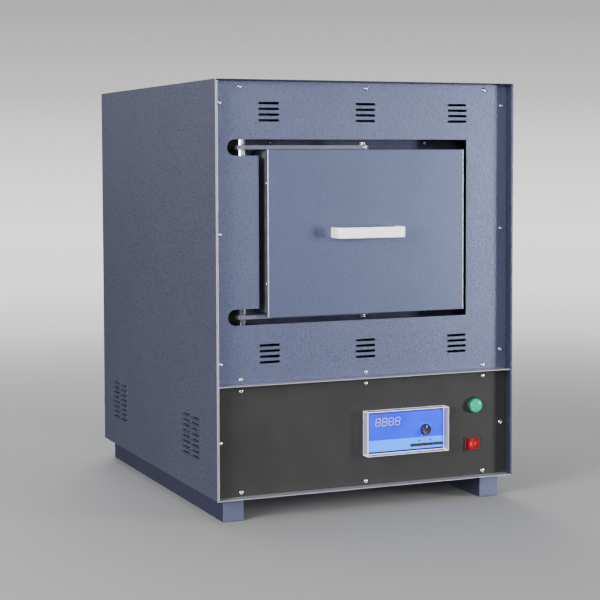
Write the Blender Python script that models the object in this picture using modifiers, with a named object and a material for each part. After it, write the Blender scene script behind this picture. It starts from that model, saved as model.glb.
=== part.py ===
"""A box-shaped electric kiln for pottery: casing on two skids, insulated chamber with wire elements,
a swing-arm door, and a control bay with temperature controller, pilot lamp and rocker switch.

Lengths are in metres, Z is up and the front faces -Y.  Heights named *_Z are measured from the
casing's underside and depths named *_Y from the casing's front rim; place() turns both into world
coordinates, whose origin is the centre of the bottom of the bounding box.
"""

from math import cos, pi, radians, sin

import bmesh
import bpy
from mathutils import Matrix, Vector

MM = 0.001
GAP = 0.3 * MM

# Casing
CASING_WIDTH = 560 * MM
CASING_DEPTH = 662 * MM
CASING_HEIGHT = 696.4 * MM
SHEET = 1.5 * MM
RIM_WIDTH = 4 * MM
RIM_DEPTH = 12 * MM
FLANGE = 14 * MM
SKID_HEIGHT = 40 * MM
SKID_WIDTH = 37 * MM
SKID_WALL = 2.5 * MM
SKID_INSET = 17 * MM
SKID_FRONT_Y = 21 * MM
SKID_BACK_Y = 650 * MM
REAR_PANEL_Y = 658.8 * MM
REARMOST_Y = 697 * MM
FOREMOST_Y = -27 * MM

# Front sheets
PANEL_Y = 20 * MM
DIVIDER_Z = 189 * MM
OPENING_HALF_WIDTH = 196.5 * MM
OPENING_LOW_Z = 289 * MM
OPENING_HIGH_Z = 598 * MM
NOTCH_END_X = -252.5 * MM
NOTCH_HEIGHT = 27 * MM
SLOT_LENGTH = 37.5 * MM
SLOT_HEIGHT = 4.2 * MM
SLOT_PITCH = 9.5 * MM
SLOT_COLUMNS_X = (-178 * MM, 0, 178 * MM)
SLOTS_PER_GROUP = 4
UPPER_SLOTS_Z = 643.8 * MM
LOWER_SLOTS_Z = 239.6 * MM

# Side louvres
LOUVRE_LENGTH = 40 * MM
LOUVRE_HEIGHT = 5.2 * MM
LOUVRE_REACH = 3.5 * MM
LOUVRE_PITCH_Z = 9.5 * MM
LOUVRE_PITCH_Y = 48 * MM
LOUVRE_ROWS = 8
LOUVRE_CENTRE_Z = 89 * MM
LOUVRE_GROUPS_Y = (129 * MM, 547 * MM)

# Chamber and its insulation
MOUTH_PLATE_Y = 86 * MM
MOUTH_PLATE_SHEET = 2 * MM
CHAMBER_HALF_WIDTH = 150 * MM
CHAMBER_LOW_Z = 343 * MM
CHAMBER_HIGH_Z = 543 * MM
CHAMBER_FRONT_Y = 88.3 * MM
CHAMBER_BACK_Y = 488.3 * MM
BOARD = 100 * MM
HEARTH_THICKNESS = 14 * MM
HEARTH_HALF_WIDTH = 132 * MM
ELEMENT_X = 143 * MM
ELEMENT_RADIUS = 2.5 * MM
ELEMENT_LOW_Z = 378 * MM
ELEMENT_PITCH = 28 * MM
ELEMENT_RUNS = 6
ELEMENT_FRONT_Y = 122 * MM
ELEMENT_TAIL_Y = 612 * MM
PROBE_Z = 515 * MM
PROBE_RADIUS = 4 * MM

# Door, its arms and its hinge
DOOR_HALF_WIDTH = 185 * MM
DOOR_LOW_Z = 300.7 * MM
DOOR_HIGH_Z = 581 * MM
DOOR_FRONT_Y = 9 * MM
COVER_DEPTH = 8.5 * MM
BODY_HALF_WIDTH = 183.2 * MM
BODY_LOW_Z = 308 * MM
BODY_HIGH_Z = 579 * MM
BODY_BACK_Y = 74 * MM
DOOR_BOARD_BACK_Y = 76 * MM
PLUG_BACK_Y = 100 * MM
PLUG_HALF_WIDTH = 142 * MM
PLUG_HALF_HEIGHT = 92 * MM
PLUG_TAPER = 6 * MM
GASKET_RADIUS = 3 * MM
AXIS_Y = 34 * MM
HINGE_X = -222.5 * MM
PIVOT_X = 0.0
ARM_THICKNESS = 6.8 * MM
ARM_HALF_WIDTH = 12.2 * MM
UPPER_ARM_Z = 581.3 * MM
LOWER_ARM_Z = 298.3 * MM
PIN_RADIUS = 5 * MM
BORE_RADIUS = 5.3 * MM
COLLAR_RADIUS = 7.5 * MM
BRACKET_SHEET = 3 * MM
HANDLE_HALF_LENGTH = 63.5 * MM
HANDLE_CENTRE_X = -6.5 * MM
HANDLE_CENTRE_Z = 441 * MM
HANDLE_HEIGHT = 18 * MM
HANDLE_STRIP = 5 * MM
HANDLE_BEND = 9 * MM

# Controls
INSTRUMENT_X = 73.5 * MM
INSTRUMENT_Z = 92.3 * MM
FACE_WIDTH = 142 * MM
FACE_HEIGHT = 65 * MM
FACE_FRONT_Y = 9 * MM
LID_WIDTH = 158 * MM
LID_HEIGHT = 77.5 * MM
LID_WALL = 2 * MM
LID_BACK_Y = 19.2 * MM
KNOB_X = 110.5 * MM
KNOB_Z = 92.3 * MM
KNOB_RADIUS = 10 * MM
LAMP_X = 213 * MM
LAMP_Z = 127.5 * MM
LAMP_HOLE_RADIUS = 11.2 * MM
ROCKER_X = 209.5 * MM
ROCKER_Z = 58.3 * MM
ROCKER_AXIS_Y = 26 * MM
ROCKER_TILT = radians(9)

# Finishes: colour, roughness, metallic
HAMMERTONE = ((0.18, 0.23, 0.33, 1), 0.35, 0.35)
DOOR_PAINT = ((0.22, 0.28, 0.39, 1), 0.3, 0.3)
CHARCOAL = ((0.06, 0.06, 0.055, 1), 0.5, 0.0)
BARE_STEEL = ((0.55, 0.55, 0.56, 1), 0.35, 1.0)
GALVANISED = ((0.45, 0.47, 0.5, 1), 0.5, 0.9)
BRIGHT_STEEL = ((0.75, 0.75, 0.77, 1), 0.15, 1.0)
FIBRE_BOARD = ((0.86, 0.84, 0.78, 1), 0.95, 0.0)
FIBRE_ROPE = ((0.8, 0.78, 0.7, 1), 1.0, 0.0)
CORDIERITE = ((0.66, 0.55, 0.42, 1), 0.85, 0.0)
ELEMENT_WIRE = ((0.23, 0.21, 0.2, 1), 0.6, 0.8)
SHEATH_CERAMIC = ((0.85, 0.82, 0.75, 1), 0.6, 0.0)
CAST_ALLOY = ((0.6, 0.61, 0.62, 1), 0.45, 1.0)
WHITE_LACQUER = ((0.9, 0.9, 0.9, 1), 0.25, 0.0)
BLUE_FACE = ((0.05, 0.2, 0.85, 1), 0.3, 0.0)
BLACK_PLASTIC = ((0.02, 0.02, 0.02, 1), 0.45, 0.0)
GREY_PLASTIC = ((0.08, 0.08, 0.09, 1), 0.4, 0.0)
CLEAR_ACRYLIC = ((0.85, 0.87, 0.95, 0.3), 0.08, 0.0)
GREEN_LENS = ((0.02, 0.75, 0.35, 1), 0.2, 0.0)
RED_PLASTIC = ((0.8, 0.02, 0.03, 1), 0.3, 0.0)
CREAM_PLASTIC = ((0.7, 0.66, 0.55, 1), 0.5, 0.0)
ALUMINIUM = ((0.7, 0.7, 0.72, 1), 0.4, 1.0)


def clear_scene():
    for obj in list(bpy.data.objects):
        bpy.data.objects.remove(obj)


def new_collection(name):
    collection = bpy.data.collections.new(name)
    bpy.context.scene.collection.children.link(collection)
    return collection


clear_scene()
KILN = new_collection("pottery_kiln")
CUTTERS = new_collection("cutters")


def place(x, y, z):
    """World position of a point given from the casing's centre line, front rim and underside."""
    return Vector((x, y - (FOREMOST_Y + REARMOST_Y) / 2, z + SKID_HEIGHT))


def finish(obj, look):
    colour, roughness, metallic = look
    material = bpy.data.materials.new(obj.name)
    material.use_nodes = True
    shader = material.node_tree.nodes["Principled BSDF"]
    shader.inputs["Base Color"].default_value = colour
    shader.inputs["Roughness"].default_value = roughness
    shader.inputs["Metallic"].default_value = metallic
    shader.inputs["Alpha"].default_value = colour[3]
    obj.data.materials.clear()
    obj.data.materials.append(material)
    return obj


def mesh_object(name, bm, location, collection):
    mesh = bpy.data.meshes.new(name)
    bmesh.ops.recalc_face_normals(bm, faces=bm.faces)
    bm.to_mesh(mesh)
    bm.free()
    obj = bpy.data.objects.new(name, mesh)
    obj.location = location
    collection.objects.link(obj)
    return obj


def box(name, low, high, look=None, bevel=0.0, segments=2):
    """A block between two corners.  With no finish it is a helper for cutting or joining."""
    low_corner = place(*low)
    high_corner = place(*high)
    size = high_corner - low_corner
    bm = bmesh.new()
    bmesh.ops.create_cube(bm, size=1, matrix=Matrix.Diagonal((*size, 1)))
    collection = KILN if look else CUTTERS
    obj = mesh_object(name, bm, (low_corner + high_corner) / 2, collection)
    if bevel:
        round_edges(obj, bevel, segments)
    return finish(obj, look) if look else as_helper(obj)


def as_helper(obj):
    obj.hide_render = True
    obj.display_type = "WIRE"
    return obj


def round_edges(obj, width, segments=2):
    bevel = obj.modifiers.new("rounded_edges", "BEVEL")
    bevel.width = width
    bevel.segments = segments
    bevel.limit_method = "ANGLE"
    bevel.angle_limit = radians(40)
    return obj


def combine(target, tool, operation):
    boolean = target.modifiers.new(f"{operation.lower()}_{tool.name}", "BOOLEAN")
    boolean.operation = operation
    boolean.solver = "EXACT"
    boolean.object = tool
    return target


def cut(target, tool):
    return combine(target, tool, "DIFFERENCE")


def join(target, tool):
    return combine(target, tool, "UNION")


def shade_smooth(obj, angle=40):
    for polygon in obj.data.polygons:
        polygon.use_smooth = True
    obj.data.set_sharp_from_angle(angle=radians(angle))
    return obj


def arc(centre_x, centre_y, radius, start, end, steps):
    """Points on an arc, angles in degrees, both ends included."""
    points = []
    for step in range(steps + 1):
        angle = radians(start + (end - start) * step / steps)
        points.append((centre_x + radius * cos(angle), centre_y + radius * sin(angle)))
    return points


def circle(centre_x, centre_y, radius, steps=24):
    return arc(centre_x, centre_y, radius, 0, 360 - 360 / steps, steps - 1)


def rectangle(left, low, right, high):
    return [(left, low), (right, low), (right, high), (left, high)]


def slot(centre_x, centre_y, length, height, steps=4):
    """A round-ended slot lying along the first direction."""
    radius = height / 2
    reach = length / 2 - radius
    right = arc(centre_x + reach, centre_y, radius, -90, 90, steps)
    left = arc(centre_x - reach, centre_y, radius, 90, 270, steps)
    return right + left


def flat_curve(name, outlines, thickness, collection):
    """A flat plate in its own XY plane: the first outline is its edge, the others are holes."""
    curve = bpy.data.curves.new(name, "CURVE")
    curve.dimensions = "2D"
    curve.fill_mode = "BOTH"
    curve.extrude = thickness / 2
    for outline in outlines:
        spline = curve.splines.new("POLY")
        spline.points.add(len(outline) - 1)
        for point, (x, y) in zip(spline.points, outline):
            point.co = (x, y, 0, 1)
        spline.use_cyclic_u = True
    obj = bpy.data.objects.new(name, curve)
    collection.objects.link(obj)
    return obj


def upright_sheet(name, outlines, front_y, thickness, look):
    """A plate in the XZ plane whose front face lies at front_y."""
    obj = flat_curve(name, outlines, thickness, KILN)
    obj.rotation_euler = (radians(90), 0, 0)
    obj.location = place(0, front_y + thickness / 2, 0)
    return finish(obj, look)


def level_sheet(name, outlines, low_z, thickness, look):
    """A plate in the XY plane whose underside lies at low_z."""
    obj = flat_curve(name, outlines, thickness, KILN)
    obj.location = place(0, 0, low_z + thickness / 2)
    return finish(obj, look)


def to_mesh(obj):
    """The same shape as a welded mesh, for Boolean work."""
    bpy.context.view_layer.update()
    graph = bpy.context.evaluated_depsgraph_get()
    mesh = bpy.data.meshes.new_from_object(obj.evaluated_get(graph))
    bm = bmesh.new()
    bm.from_mesh(mesh)
    bmesh.ops.remove_doubles(bm, verts=bm.verts, dist=0.000001)
    bm.to_mesh(mesh)
    bm.free()
    name = obj.name
    collection = obj.users_collection[0]
    matrix = obj.matrix_world.copy()
    bpy.data.objects.remove(obj)
    made = bpy.data.objects.new(name, mesh)
    made.matrix_world = matrix
    collection.objects.link(made)
    return made


def turned(name, profile, look, location, axis="Z", steps=24):
    """A turned shape.  The profile lists (radius, height) from its top to its bottom."""
    bm = bmesh.new()
    verts = [bm.verts.new((radius, 0, height)) for radius, height in profile]
    for first, second in zip(verts, verts[1:]):
        bm.edges.new((first, second))
    mesh = bpy.data.meshes.new(name)
    bm.to_mesh(mesh)
    bm.free()
    obj = bpy.data.objects.new(name, mesh)
    obj.location = location
    if axis == "-Y":
        obj.rotation_euler = (radians(90), 0, 0)
    if axis == "+Y":
        obj.rotation_euler = (radians(-90), 0, 0)
    (KILN if look else CUTTERS).objects.link(obj)
    screw = obj.modifiers.new("turned", "SCREW")
    screw.steps = steps
    screw.render_steps = steps
    screw.use_merge_vertices = True
    screw.merge_threshold = 0.00001
    screw.use_smooth_shade = True
    return finish(obj, look) if look else as_helper(obj)


def rod(name, points, radius, look):
    """A round wire or rod along a path, with closed ends."""
    curve = bpy.data.curves.new(name, "CURVE")
    curve.dimensions = "3D"
    curve.bevel_depth = radius
    curve.bevel_resolution = 2
    curve.use_fill_caps = True
    spline = curve.splines.new("POLY")
    spline.points.add(len(points) - 1)
    for target, point in zip(spline.points, points):
        target.co = (*point, 1)
    obj = bpy.data.objects.new(name, curve)
    KILN.objects.link(obj)
    return finish(obj, look)


def axis_point(name, location):
    """An empty that stands on the axis of a joint."""
    empty = bpy.data.objects.new(name, None)
    empty.empty_display_size = 0.03
    empty.location = location
    KILN.objects.link(empty)
    return empty


def hang(parent, *children):
    """Parents pieces to a joint's empty without moving them."""
    bpy.context.view_layer.update()
    centre = parent.matrix_world.translation
    for child in children:
        child.location = child.location - centre
        child.parent = parent


# ---------------------------------------------------------------- casing


def louvre_wedges(name, side, reach, low, high, length, depth):
    """One wedge per louvre: deep at its top, thin at its foot."""
    bm = bmesh.new()
    outer = CASING_WIDTH / 2
    for group_y in LOUVRE_GROUPS_Y:
        for column in (-0.5, 0.5):
            for row in range(LOUVRE_ROWS):
                centre_y = group_y + column * LOUVRE_PITCH_Y
                centre_z = LOUVRE_CENTRE_Z + (row - (LOUVRE_ROWS - 1) / 2) * LOUVRE_PITCH_Z
                size = Vector((reach + depth, length, high - low))
                middle = Vector(
                    (side * (outer + (reach - depth) / 2), centre_y, centre_z + (high + low) / 2)
                )
                shape = Matrix.Translation(middle) @ Matrix.Diagonal((*size, 1))
                made = bmesh.ops.create_cube(bm, size=1, matrix=shape)
                slope_wedge(made["verts"], middle, side, outer)
    return as_helper(mesh_object(name, bm, place(0, 0, 0), CUTTERS))


def slope_wedge(verts, middle, side, outer):
    for vert in verts:
        if vert.co.z < middle.z and side * vert.co.x > outer:
            vert.co.x = side * (outer - 0.2 * MM)


def side_panel(name, side):
    """Side sheet with a folded front rim, top and rear flanges, and louvres low down."""
    outer = side * CASING_WIDTH / 2
    inner = outer - side * SHEET

    def slab(label, x_end, low_y, high_y, low_z, high_z):
        left, right = sorted((outer, x_end))
        return box(f"{name}_{label}", (left, low_y, low_z), (right, high_y, high_z))

    left, right = sorted((outer, inner))
    top_z = CASING_HEIGHT - SHEET - GAP
    panel = box(name, (left, 0, 0), (right, CASING_DEPTH, CASING_HEIGHT), HAMMERTONE)
    rim = slab("rim", outer - side * RIM_WIDTH, 0, RIM_DEPTH, SHEET + 2 * GAP, top_z - GAP)
    join(panel, round_edges(rim, 0.8 * MM, 2))
    join(panel, slab("top_flange", outer - side * FLANGE, 24 * MM, 640 * MM, top_z - SHEET, top_z))
    back_y = REAR_PANEL_Y - GAP
    join(panel, slab("rear_flange", outer - side * FLANGE, back_y - SHEET, back_y, 4 * MM, 680 * MM))
    half = LOUVRE_HEIGHT / 2
    hoods = louvre_wedges(f"{name}_hoods", side, LOUVRE_REACH, -half, half, LOUVRE_LENGTH, 1 * MM)
    join(panel, hoods)
    gaps = louvre_wedges(
        f"{name}_gaps", side, LOUVRE_REACH - 1.2 * MM, -half + 1.4 * MM, half + 0.4 * MM,
        LOUVRE_LENGTH - 3 * MM, 4 * MM,
    )
    cut(panel, gaps)
    return panel


def top_panel():
    half = CASING_WIDTH / 2 - SHEET - GAP
    low = (-half, 0, CASING_HEIGHT - SHEET)
    high = (half, CASING_DEPTH, CASING_HEIGHT)
    return box("top_panel", low, high, HAMMERTONE)


def base_plate():
    half = CASING_WIDTH / 2 - SHEET - GAP
    return box("base_plate", (-half, 0, 0), (half, REAR_PANEL_Y - GAP, SHEET), HAMMERTONE)


def skid(name, side):
    """Rectangular tube with a closed front end, open at the back."""
    outer = side * (CASING_WIDTH / 2 - SKID_INSET)
    inner = outer - side * SKID_WIDTH
    left, right = sorted((outer, inner))
    tube = box(name, (left, SKID_FRONT_Y, -SKID_HEIGHT), (right, SKID_BACK_Y, -GAP), HAMMERTONE)
    round_edges(tube, 1.5 * MM, 2)
    hollow = box(
        f"{name}_hollow",
        (left + SKID_WALL, SKID_FRONT_Y + SKID_WALL, -SKID_HEIGHT + SKID_WALL),
        (right - SKID_WALL, SKID_BACK_Y + SKID_WALL, -GAP - SKID_WALL),
    )
    return cut(tube, hollow)


def divider_shelf():
    half = CASING_WIDTH / 2 - RIM_WIDTH - GAP
    low = (-half, 1 * MM, DIVIDER_Z)
    return box("divider_shelf", low, (half, 640 * MM, DIVIDER_Z + SHEET), HAMMERTONE)


def slot_group(centre_x, centre_z):
    group = []
    for row in range(SLOTS_PER_GROUP):
        z = centre_z + (row - (SLOTS_PER_GROUP - 1) / 2) * SLOT_PITCH
        group.append(slot(centre_x, z, SLOT_LENGTH, SLOT_HEIGHT))
    return group


def opening_outline():
    """The door opening, with a round-ended notch to its left at the top and at the bottom."""
    radius = NOTCH_HEIGHT / 2
    centre_x = NOTCH_END_X + radius
    right = OPENING_HALF_WIDTH
    low, high = OPENING_LOW_Z, OPENING_HIGH_Z
    outline = [(right, low), (right, high)]
    outline += arc(centre_x, high - radius, radius, 90, 270, 12)
    outline += [(-right, high - NOTCH_HEIGHT), (-right, low + NOTCH_HEIGHT)]
    outline += arc(centre_x, low + radius, radius, 90, 270, 12)
    return outline


def front_panel():
    half = CASING_WIDTH / 2 - SHEET - GAP
    low = DIVIDER_Z + SHEET + GAP
    high = CASING_HEIGHT - SHEET - GAP
    outlines = [rectangle(-half, low, half, high), opening_outline()]
    for x in SLOT_COLUMNS_X:
        outlines += slot_group(x, UPPER_SLOTS_Z)
        outlines += slot_group(x, LOWER_SLOTS_Z)
    return upright_sheet("front_panel", outlines, PANEL_Y, SHEET, HAMMERTONE)


def control_panel():
    half = CASING_WIDTH / 2 - SHEET - GAP
    outline = rectangle(-half, SHEET + GAP, half, DIVIDER_Z - GAP)
    window = rectangle(
        INSTRUMENT_X - 69 * MM, INSTRUMENT_Z - 31 * MM, INSTRUMENT_X + 69 * MM, INSTRUMENT_Z + 31 * MM
    )
    lamp_hole = circle(LAMP_X, LAMP_Z, LAMP_HOLE_RADIUS)
    switch_hole = rectangle(
        ROCKER_X - 14.1 * MM, ROCKER_Z - 11.1 * MM, ROCKER_X + 14.1 * MM, ROCKER_Z + 11.1 * MM
    )
    outlines = [outline, window, lamp_hole, switch_hole]
    return upright_sheet("control_panel", outlines, PANEL_Y, SHEET, CHARCOAL)


def rear_panel():
    half = CASING_WIDTH / 2 - SHEET - GAP
    outline = rectangle(-half, SHEET + GAP, half, CASING_HEIGHT - SHEET - GAP)
    outlines = [outline, circle(0, PROBE_Z, 6 * MM), circle(-200 * MM, 62 * MM, 10.6 * MM)]
    for x in SLOT_COLUMNS_X:
        outlines += slot_group(x, UPPER_SLOTS_Z)
        outlines += slot_group(x, LOWER_SLOTS_Z - 110 * MM)
    return upright_sheet("rear_panel", outlines, REAR_PANEL_Y, SHEET, HAMMERTONE)


def casing():
    side_panel("left_side_panel", -1)
    side_panel("right_side_panel", 1)
    top_panel()
    base_plate()
    skid("left_skid", -1)
    skid("right_skid", 1)
    divider_shelf()
    front_panel()
    control_panel()
    rear_panel()


# ---------------------------------------------------------------- chamber


def mouth_plate():
    outline = rectangle(-262 * MM, 206 * MM, 262 * MM, 680 * MM)
    mouth = rectangle(-CHAMBER_HALF_WIDTH, CHAMBER_LOW_Z, CHAMBER_HALF_WIDTH, CHAMBER_HIGH_Z)
    return upright_sheet("mouth_plate", [outline, mouth], MOUTH_PLATE_Y, MOUTH_PLATE_SHEET, GALVANISED)


def insulation():
    """Five boards round the chamber; the rear one is bored for the element tails and the probe."""
    side = CHAMBER_HALF_WIDTH
    outer = side + BOARD
    front, back = CHAMBER_FRONT_Y, CHAMBER_BACK_Y
    low, high = CHAMBER_LOW_Z, CHAMBER_HIGH_Z
    box("floor_board", (-outer, front, low - BOARD), (outer, back, low - GAP), FIBRE_BOARD)
    box("roof_board", (-outer, front, high + GAP), (outer, back, high + BOARD), FIBRE_BOARD)
    box("left_board", (-outer, front, low), (-side, back, high), FIBRE_BOARD)
    box("right_board", (side, front, low), (outer, back, high), FIBRE_BOARD)
    rear = box(
        "rear_board", (-outer, back + GAP, low - BOARD), (outer, back + BOARD, high + BOARD), FIBRE_BOARD
    )
    for label, x, z, radius in rear_bores():
        bore = turned(
            f"bore_{label}", [(0, 70 * MM), (radius, 70 * MM), (radius, -70 * MM), (0, -70 * MM)],
            None, place(x, back + BOARD / 2, z), "-Y", 12,
        )
        cut(rear, bore)


def rear_bores():
    top_run = ELEMENT_LOW_Z + (ELEMENT_RUNS - 1) * ELEMENT_PITCH
    bores = [("probe", 0, PROBE_Z, PROBE_RADIUS + 1 * MM)]
    for label, x in (("left", -ELEMENT_X), ("right", ELEMENT_X)):
        bores.append((f"{label}_low", x, ELEMENT_LOW_Z, ELEMENT_RADIUS + 1.2 * MM))
        bores.append((f"{label}_high", x, top_run, ELEMENT_RADIUS + 1.2 * MM))
    return bores


def hearth_plate():
    low = (-HEARTH_HALF_WIDTH, 108 * MM, CHAMBER_LOW_Z + GAP)
    high = (HEARTH_HALF_WIDTH, 478 * MM, CHAMBER_LOW_Z + HEARTH_THICKNESS)
    return box("hearth_plate", low, high, CORDIERITE, 1.5 * MM)


def element_path(x):
    """Out from the rear, to and fro along the wall, and back out through the rear."""
    radius = ELEMENT_PITCH / 2
    turn_front = ELEMENT_FRONT_Y + radius
    turn_back = CHAMBER_BACK_Y - 24 * MM
    path = [(ELEMENT_TAIL_Y, ELEMENT_LOW_Z)]
    for run in range(ELEMENT_RUNS - 1):
        middle_z = ELEMENT_LOW_Z + (run + 0.5) * ELEMENT_PITCH
        if run % 2 == 0:
            path += arc(turn_front, middle_z, radius, 270, 90, 6)
        else:
            path += arc(turn_back, middle_z, radius, -90, 90, 6)
    path.append((ELEMENT_TAIL_Y, ELEMENT_LOW_Z + (ELEMENT_RUNS - 1) * ELEMENT_PITCH))
    return [place(x, y, z) for y, z in path]


def heating_elements():
    rod("left_element", element_path(-ELEMENT_X), ELEMENT_RADIUS, ELEMENT_WIRE)
    rod("right_element", element_path(ELEMENT_X), ELEMENT_RADIUS, ELEMENT_WIRE)


def chamber_stand():
    """Folded sheet table that carries the insulated chamber above the divider."""
    half = 235 * MM
    top = CHAMBER_LOW_Z - BOARD - GAP
    low = DIVIDER_Z + SHEET + GAP
    thick = 2 * MM
    foot = 22 * MM
    outline = [
        (-half, low), (-half + foot, low), (-half + foot, low + thick), (-half + thick, low + thick),
        (-half + thick, top - thick), (half - thick, top - thick), (half - thick, low + thick),
        (half - foot, low + thick), (half - foot, low), (half, low), (half, top), (-half, top),
    ]
    depth = CHAMBER_BACK_Y + BOARD - CHAMBER_FRONT_Y
    return upright_sheet("chamber_stand", [outline], CHAMBER_FRONT_Y, depth, GALVANISED)


def thermocouple():
    """Ceramic-sheathed probe through the rear board, with a cast connection head behind."""
    sheath = [
        (0, 226 * MM), (2.4 * MM, 225 * MM), (PROBE_RADIUS, 222 * MM), (PROBE_RADIUS, 0), (0, 0),
    ]
    turned("thermocouple_sheath", sheath, SHEATH_CERAMIC, place(0, 674 * MM, PROBE_Z), "-Y", 16)
    head = [
        (0, 12 * MM), (13 * MM, 12 * MM), (16 * MM, 9 * MM), (17 * MM, 4 * MM), (19 * MM, 3.5 * MM),
        (19 * MM, -1 * MM), (17 * MM, -1.5 * MM), (17 * MM, -8 * MM), (9 * MM, -12 * MM),
        (9 * MM, -22.4 * MM), (5 * MM, -22.4 * MM), (5 * MM, -10 * MM), (0, -10 * MM),
    ]
    turned("thermocouple_head", head, CAST_ALLOY, place(0, REARMOST_Y - 12 * MM, PROBE_Z), "+Y", 24)


def chamber():
    mouth_plate()
    insulation()
    hearth_plate()
    heating_elements()
    chamber_stand()
    thermocouple()


# ---------------------------------------------------------------- door


def door_cover():
    """Pressed front cover: a shallow tray open towards the kiln."""
    low = (-DOOR_HALF_WIDTH, DOOR_FRONT_Y, DOOR_LOW_Z)
    high = (DOOR_HALF_WIDTH, DOOR_FRONT_Y + COVER_DEPTH, DOOR_HIGH_Z)
    cover = box("door_cover", low, high, DOOR_PAINT)
    round_edges(cover, 1 * MM, 3)
    wall = Vector((SHEET, SHEET, SHEET))
    inside = box("door_cover_inside", Vector(low) + wall, Vector(high) + Vector((-SHEET, 4 * MM, -SHEET)))
    return cut(cover, inside)


def door_body():
    """Folded steel case behind the cover, open at the back for the insulation."""
    low = Vector((-BODY_HALF_WIDTH, DOOR_FRONT_Y + SHEET + GAP, BODY_LOW_Z))
    high = Vector((BODY_HALF_WIDTH, BODY_BACK_Y, BODY_HIGH_Z))
    case = box("door_body", low, high, GALVANISED)
    wall = Vector((SHEET, SHEET, SHEET))
    return cut(case, box("door_body_inside", low + wall, high + Vector((-SHEET, 4 * MM, -SHEET))))


def door_insulation():
    """Fibre block with a tapered plug that enters the chamber mouth."""
    margin = SHEET + GAP
    front = DOOR_FRONT_Y + 2 * SHEET + 2 * GAP
    low = (-BODY_HALF_WIDTH + margin, front, BODY_LOW_Z + margin)
    high = (BODY_HALF_WIDTH - margin, DOOR_BOARD_BACK_Y, BODY_HIGH_Z - margin)
    block = box("door_insulation", low, high, FIBRE_BOARD)
    middle = (CHAMBER_LOW_Z + CHAMBER_HIGH_Z) / 2
    bm = bmesh.new()
    depth = PLUG_BACK_Y - DOOR_BOARD_BACK_Y + 2 * MM
    size = Vector((2 * PLUG_HALF_WIDTH, depth, 2 * PLUG_HALF_HEIGHT))
    bmesh.ops.create_cube(bm, size=1, matrix=Matrix.Diagonal((*size, 1)))
    for vert in bm.verts:
        if vert.co.y > 0:
            vert.co.x *= 1 - PLUG_TAPER / PLUG_HALF_WIDTH
            vert.co.z *= 1 - PLUG_TAPER / PLUG_HALF_HEIGHT
    plug = mesh_object("door_plug", bm, place(0, PLUG_BACK_Y - depth / 2, middle), CUTTERS)
    return join(block, as_helper(plug))


def door_gasket():
    """Fibre rope round the back of the door, outside the chamber mouth."""
    half_x = 166 * MM
    middle = (CHAMBER_LOW_Z + CHAMBER_HIGH_Z) / 2
    half_z = 116 * MM
    corner = 12 * MM
    y = DOOR_BOARD_BACK_Y + GAP + GASKET_RADIUS
    loop = []
    for sign_x, sign_z, start in ((1, 1, 0), (-1, 1, 90), (-1, -1, 180), (1, -1, 270)):
        x = sign_x * (half_x - corner)
        z = middle + sign_z * (half_z - corner)
        loop += arc(x, z, corner, start, start + 90, 4)
    gasket = rod("door_gasket", [place(x, y, z) for x, z in loop], GASKET_RADIUS, FIBRE_ROPE)
    gasket.data.splines[0].use_cyclic_u = True
    return gasket


def door_handle():
    """Flat strip bent into a bow, standing out from the cover."""
    left = HANDLE_CENTRE_X - HANDLE_HALF_LENGTH
    right = HANDLE_CENTRE_X + HANDLE_HALF_LENGTH
    front = FOREMOST_Y
    back = DOOR_FRONT_Y - GAP
    inner_bend = HANDLE_BEND - HANDLE_STRIP
    outline = [(left, back)]
    outline += arc(left + HANDLE_BEND, front + HANDLE_BEND, HANDLE_BEND, 180, 270, 5)
    outline += arc(right - HANDLE_BEND, front + HANDLE_BEND, HANDLE_BEND, 270, 360, 5)
    outline += [(right, back), (right - HANDLE_STRIP, back)]
    outline += arc(right - HANDLE_BEND, front + HANDLE_BEND, inner_bend, 360, 270, 4)
    outline += arc(left + HANDLE_BEND, front + HANDLE_BEND, inner_bend, 270, 180, 4)
    outline += [(left + HANDLE_STRIP, back)]
    low = HANDLE_CENTRE_Z - HANDLE_HEIGHT / 2
    handle = level_sheet("door_handle", [outline], low, HANDLE_HEIGHT, WHITE_LACQUER)
    handle = finish(to_mesh(handle), WHITE_LACQUER)
    return shade_smooth(round_edges(handle, 0.8 * MM, 2))


def swing_arm(name, low_z):
    """Flat bar with an eye at each end, one for the hinge pin and one for the door's pivot."""
    outline = arc(PIVOT_X, AXIS_Y, ARM_HALF_WIDTH, -90, 90, 10)
    outline += arc(HINGE_X, AXIS_Y, ARM_HALF_WIDTH, 90, 270, 10)
    eyes = [circle(HINGE_X, AXIS_Y, BORE_RADIUS), circle(PIVOT_X, AXIS_Y, BORE_RADIUS)]
    return level_sheet(name, [outline] + eyes, low_z, ARM_THICKNESS, HAMMERTONE)


def hinge_bracket(name, arm_z):
    """Channel on the mouth plate whose two ears carry the hinge pin."""
    middle = arm_z + ARM_THICKNESS / 2
    left, right = HINGE_X - 25 * MM, HINGE_X + 25 * MM
    back = MOUTH_PLATE_Y - GAP
    half = 18 * MM
    low = (left, 25 * MM, middle - half)
    high = (right, back, middle + half)
    bracket = box(name, low, high, GALVANISED)
    inside = box(
        f"{name}_inside",
        (left - 5 * MM, 10 * MM, middle - half + BRACKET_SHEET),
        (right + 5 * MM, back - BRACKET_SHEET, middle + half - BRACKET_SHEET),
    )
    cut(bracket, inside)
    bore = [(0, 30 * MM), (BORE_RADIUS, 30 * MM), (BORE_RADIUS, -30 * MM), (0, -30 * MM)]
    return cut(bracket, turned(f"{name}_bore", bore, None, place(HINGE_X, AXIS_Y, middle)))


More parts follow.
